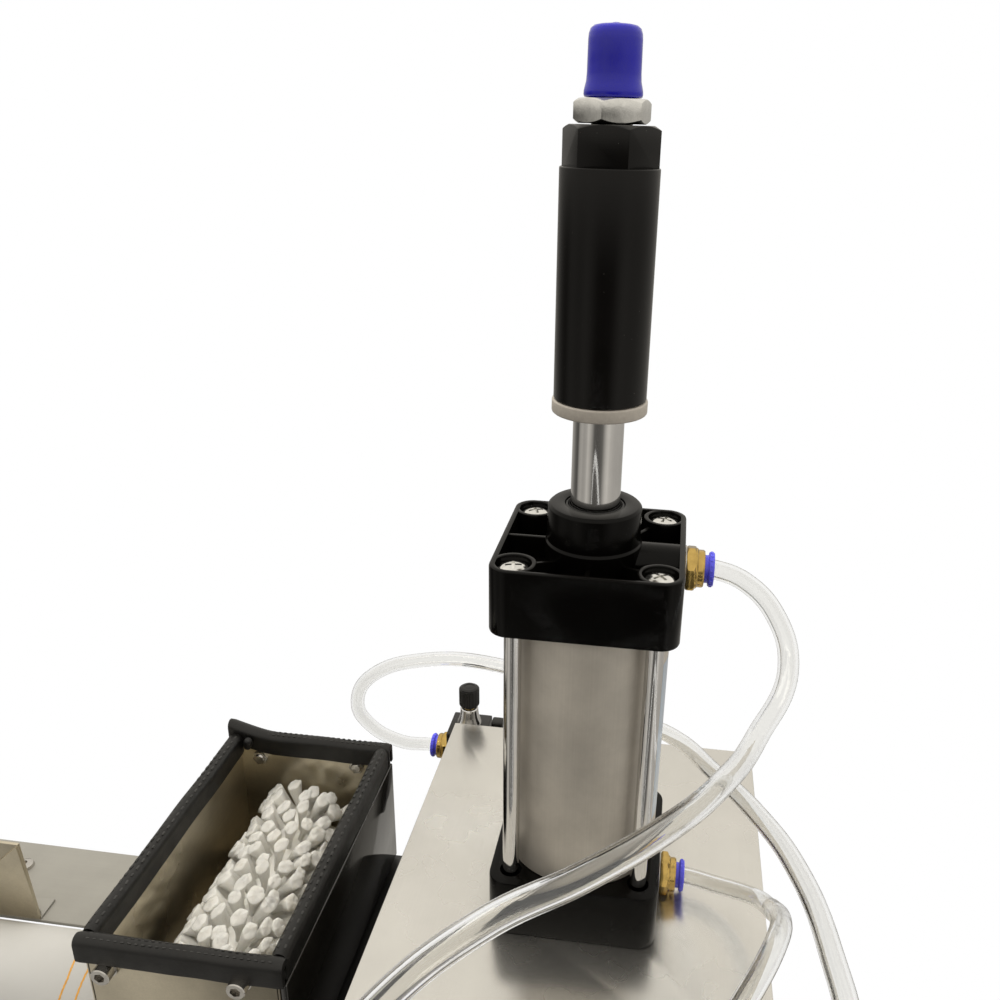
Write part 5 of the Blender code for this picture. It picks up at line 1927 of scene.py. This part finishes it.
@dataclass
class SideDeck:
    """The deck plate beside the trough with its stop block, tab, screw and belt roller."""

    top: float = -31.0

    def build_deck(self) -> None:
        """Make the deck plate and the small pieces on it."""
        refined("side_deck", Look.DECK_PLATE, Body.FRAME, 0.35)
        up = Matrix.Translation((0, 0, DECK))
        stand = Matrix.Rotation(PI / 2, 4, "X")
        gusset = Shape().prism(
            [(-260.4, self.top), (-263.9, 13.7), (-312.0, self.top)], 34.6, 36.1, up @ stand, 0.3
        )
        gusset.prism(
            [(-262.2, self.top), (-264.6, 13.2), (-320.5, 13.2), (-320.5, self.top)],
            32.6,
            34.3,
            up @ stand,
            0.4,
        )
        gusset.published("stop_gusset", Look.TROUGH, Body.FRAME)
        tab = Shape().prism(
            [(-272.0, -24.6), (-262.2, -32.4), (-260.0, -36.0), (-260.6, -23.5)],
            self.top,
            self.top + 1.2,
            up,
            0.3,
        )
        tab.published("gusset_foot", Look.DECK_PLATE, Body.FRAME)
        screw = Shape().turned(
            [
                (0, -1), (4.6, -1), (4.6, 0.3), (4.1, 1.5),
                (2.6, 2.3), (1.5, 2.4), (1.5, 0.8), (0, 0.8),
            ],
            40,
            up @ Matrix.Translation((-290.7 * MM, -4.4 * MM, self.top * MM)),
        )
        screw.published("deck_screw", Look.BOLT, Body.FRAME)

    def build_roller(self) -> None:
        """Make the belted roller, its shaft and the orange marks on the belt."""
        low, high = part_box("belt_roller")
        middle = (low + high) / 2
        radius = (high.z - low.z) / 2 / MM
        left, end = low.x / MM, -203.0
        roller = Shape().turned(
            [
                (0, left), (radius - 1, left), (radius, left + 1), (radius, end - 1),
                (radius - 1.2, end), (radius - 4, end), (radius - 5, end - 1.5), (7, end - 1.5),
                (5.2, end - 1.4), (5.2, end - 0.8), (0, end - 0.8),
            ],
            96,
            Matrix.Translation((0, middle.y, middle.z)) @ towards((1, 0, 0)),
        )
        roller.published("belted_roller", Look.BELT, Body.BELT)
        Shape().turned(
            [(0, end - 2), (5, end - 2), (5, high.x / MM), (0, high.x / MM)],
            40,
            Matrix.Translation((0, middle.y, middle.z)) @ towards((1, 0, 0)),
        ).published("roller_shaft", Look.MACHINED, Body.BELT, ["belt_roller"])
        marks = Shape()
        for line in (
            ((-223.8, 78), (-220.9, 112)), ((-220.9, 111), (-220.9, 150)),
            ((-213.9, 92), (-213.2, 150)),
        ):
            marks.joined(self.mark(*line, radius, middle))
        marks.published("belt_marks", Look.MARKS, Body.BELT)

    def mark(self, start: Point2, stop: Point2, radius: float, middle: Vector) -> Shape:
        """A thin line on the belt from one (x, angle) to another.

        Args:
            start: Where it starts: x, and degrees from +Y over the top.
            stop: Where it stops.
            radius: The roller's radius.
            middle: A point on the roller's axis.

        Returns:
            The shape.
        """
        form = bmesh.new()
        steps, half = 24, 0.55
        loops = []
        for step in range(steps + 1):
            share = step / steps
            x = start[0] + (stop[0] - start[0]) * share
            angle = math.radians(start[1] + (stop[1] - start[1]) * share)
            loop = []
            for side, rise in ((-half, 0.08), (half, 0.08), (half, -0.3), (-half, -0.3)):
                spread = side * 0.8 + 0.12 * math.sin(step * 2.7)
                r = (radius + rise) * MM
                loop.append(
                    form.verts.new(
                        (
                            (x + spread) * MM,
                            middle.y + r * math.cos(angle),
                            middle.z + r * math.sin(angle),
                        )
                    )
                )
            loops.append(loop)
        form.faces.new(loops[0])
        form.faces.new(loops[-1])
        for one, two in zip(loops, loops[1:]):
            for k in range(4):
                form.faces.new((one[k], one[(k + 1) % 4], two[(k + 1) % 4], two[k]))
        Shape.closed(form)
        return Shape().take(form)

    def build(self) -> None:
        """Make the deck and the roller."""
        self.build_deck()
        self.build_roller()


# Studio


@dataclass
class Lamp:
    """A soft rectangular light."""

    name: str
    at: Point3
    target: Point3
    size: Point2
    power: float
    tint: Colour = (1.0, 1.0, 1.0)

    def build(self) -> None:
        """Put the lamp in the scene."""
        data = bpy.data.lights.new(self.name, "AREA")
        data.shape = "RECTANGLE"
        data.size, data.size_y = self.size
        data.energy = self.power
        data.color = self.tint
        lamp = bpy.data.objects.new(self.name, data)
        lamp.location = self.at
        aim = Vector(self.target) - Vector(self.at)
        lamp.rotation_euler = aim.to_track_quat("-Z", "Y").to_euler()
        lamp.visible_glossy = False
        bpy.context.scene.collection.objects.link(lamp)


@dataclass
class Studio:
    """The camera, the white surroundings and the lamps.

    The ramps give brightness against height (ambient, for diffuse light, and sky, for reflections)
    or against bearing (low_bands, for reflections from below the horizon). from_right and
    from_back are how much stronger the diffuse light is from there.
    """

    eye: Point3 = (0.02807, -0.35059, 0.58608)
    yaw: float = -7.03
    pitch: float = -22.35
    roll: float = 1.59
    lens: float = 33.875
    shift: Point2 = (-0.0576, 0.0107)
    ambient: tuple[Point2, ...] = ((0.0, 0.26), (0.5, 0.46), (0.75, 0.95), (1.0, 1.3))
    lamps: list[Lamp] = field(
        default_factory=lambda: [
            Lamp("key", (-0.5, 0.3, 1.5), (-0.05, 0, 0.3), (0.9, 0.9), 8.0, (1.0, 0.97, 0.9))
        ]
    )
    from_right: float = 0.22
    from_back: float = 0.45
    warmth: Colour = (1.0, 0.955, 0.87)
    horizon: tuple[Point2, ...] = ((0.46, 0.0), (0.58, 1.0))
    sky: tuple[Point2, ...] = ((0.50, 0.42), (0.58, 0.80), (0.70, 0.92), (1.0, 1.0))
    low_bands: tuple[Point2, ...] = (
        (0.0, 0.10), (0.032, 0.12), (0.058, 0.31), (0.084, 0.49), (0.11, 0.60), (0.138, 0.43),
        (0.167, 0.39), (0.197, 0.45), (0.229, 0.39), (0.265, 0.09), (0.305, 0.13), (0.357, 0.28),
        (0.436, 0.42), (0.50, 0.45), (0.611, 0.41), (0.67, 0.45), (0.753, 0.46), (0.818, 0.54),
        (0.848, 0.65), (0.876, 0.58), (0.903, 0.38), (0.93, 0.16), (0.955, 0.12), (1.0, 0.10),
    )

    def build_camera(self) -> None:
        """Point the camera as the operator would look down at the cylinder."""
        yaw, pitch, roll = (math.radians(a) for a in (self.yaw, self.pitch, self.roll))
        forward = Vector(
            (math.sin(yaw) * math.cos(pitch), math.cos(yaw) * math.cos(pitch), math.sin(pitch))
        )
        right = Vector((math.cos(yaw), -math.sin(yaw), 0))
        up = right.cross(forward)
        side = right * math.cos(roll) + up * math.sin(roll)
        top = up * math.cos(roll) - right * math.sin(roll)
        data = bpy.data.cameras.new("operator")
        data.lens = self.lens
        data.shift_x, data.shift_y = self.shift
        data.clip_start = 0.01
        camera = bpy.data.objects.new("operator", data)
        turn = Matrix((side, top, -forward)).transposed().to_4x4()
        camera.matrix_world = Matrix.Translation(self.eye) @ turn
        bpy.context.scene.collection.objects.link(camera)
        bpy.context.scene.camera = camera

    def build_world(self) -> None:
        """Make white surroundings whose reflections have darker and lighter bands."""
        world = bpy.data.worlds.new("white_room")
        bpy.context.scene.world = world
        world.use_nodes = True
        nodes, links = world.node_tree.nodes, world.node_tree.links
        nodes.clear()

        def maths(operation: str, one: object, two: object = 0.0) -> bpy.types.NodeSocket:
            """Combine two values, each a socket or a number."""
            node = nodes.new("ShaderNodeMath")
            node.operation = operation
            for socket, value in zip(node.inputs, (one, two)):
                if isinstance(value, bpy.types.NodeSocket):
                    links.new(value, socket)
                else:
                    socket.default_value = value
            return node.outputs[0]

        def ramp(value: bpy.types.NodeSocket, stops: Sequence[Point2]) -> bpy.types.NodeSocket:
            """Map a value through grey stops."""
            node = nodes.new("ShaderNodeValToRGB")
            points = node.color_ramp.elements
            points[0].position, points[1].position = stops[0][0], stops[-1][0]
            points[0].color = (stops[0][1],) * 3 + (1,)
            points[1].color = (stops[-1][1],) * 3 + (1,)
            for position, grey in stops[1:-1]:
                points.new(position).color = (grey,) * 3 + (1,)
            links.new(value, node.inputs[0])
            return node.outputs[0]

        direction = nodes.new("ShaderNodeTexCoord").outputs["Generated"]
        split = nodes.new("ShaderNodeSeparateXYZ")
        links.new(direction, split.inputs[0])
        bearing = maths("ARCTAN2", split.outputs["X"], split.outputs["Y"])
        turn = maths("MULTIPLY_ADD", bearing, 0.5 / PI)
        turn.node.inputs[2].default_value = 0.5
        bands = ramp(turn, self.low_bands)
        upper = maths("MULTIPLY_ADD", split.outputs["Z"], 0.5)
        upper.node.inputs[2].default_value = 0.5
        sky = ramp(upper, self.sky)
        share = ramp(upper, self.horizon)
        shine = nodes.new("ShaderNodeMix")
        links.new(share, shine.inputs[0])
        links.new(bands, shine.inputs[2])
        links.new(sky, shine.inputs[3])
        path = nodes.new("ShaderNodeLightPath")
        level = nodes.new("ShaderNodeMix")
        sideways = maths("MULTIPLY_ADD", split.outputs["X"], self.from_right)
        sideways.node.inputs[2].default_value = 1.0
        lean = maths("MULTIPLY_ADD", split.outputs["Y"], self.from_back)
        links.new(sideways, lean.node.inputs[2])
        links.new(maths("MULTIPLY", ramp(upper, self.ambient), lean), level.inputs[2])
        links.new(shine.outputs[0], level.inputs[3])
        links.new(path.outputs["Is Glossy Ray"], level.inputs[0])
        clear = nodes.new("ShaderNodeMix")
        links.new(path.outputs["Is Transmission Ray"], clear.inputs[0])
        links.new(level.outputs[0], clear.inputs[2])
        clear.inputs[3].default_value = 1.0
        final = nodes.new("ShaderNodeMix")
        links.new(path.outputs["Is Camera Ray"], final.inputs[0])
        links.new(clear.outputs[0], final.inputs[2])
        final.inputs[3].default_value = 1.0
        seen = maths("MAXIMUM", path.outputs["Is Camera Ray"], path.outputs["Is Transmission Ray"])
        tint = nodes.new("ShaderNodeMix")
        tint.data_type = "RGBA"
        links.new(seen, tint.inputs[0])
        tint.inputs[6].default_value = (*self.warmth, 1.0)
        tint.inputs[7].default_value = (1.0, 1.0, 1.0, 1.0)
        background = nodes.new("ShaderNodeBackground")
        links.new(tint.outputs[2], background.inputs["Color"])
        links.new(final.outputs[0], background.inputs["Strength"])
        output = nodes.new("ShaderNodeOutputWorld")
        links.new(background.outputs[0], output.inputs[0])

    def build(self) -> None:
        """Make the whole studio."""
        bpy.context.scene.view_settings.view_transform = "Standard"
        self.build_camera()
        self.build_world()
        for lamp in self.lamps:
            lamp.build()


def main() -> None:
    """Build the machine and the studio."""
    logging.basicConfig(level=logging.INFO, format="%(name)s: %(message)s")
    for unit in (
        DriveCylinder(),
        StrokeAdjuster(),
        AirLine(),
        Valves(),
        Cabinet(),
        Pump(),
        BrushUnit(),
        SideDeck(),
        Studio(),
    ):
        log.info("building %s", type(unit).__name__)
        unit.build()


if __name__ == "__main__":
    main()
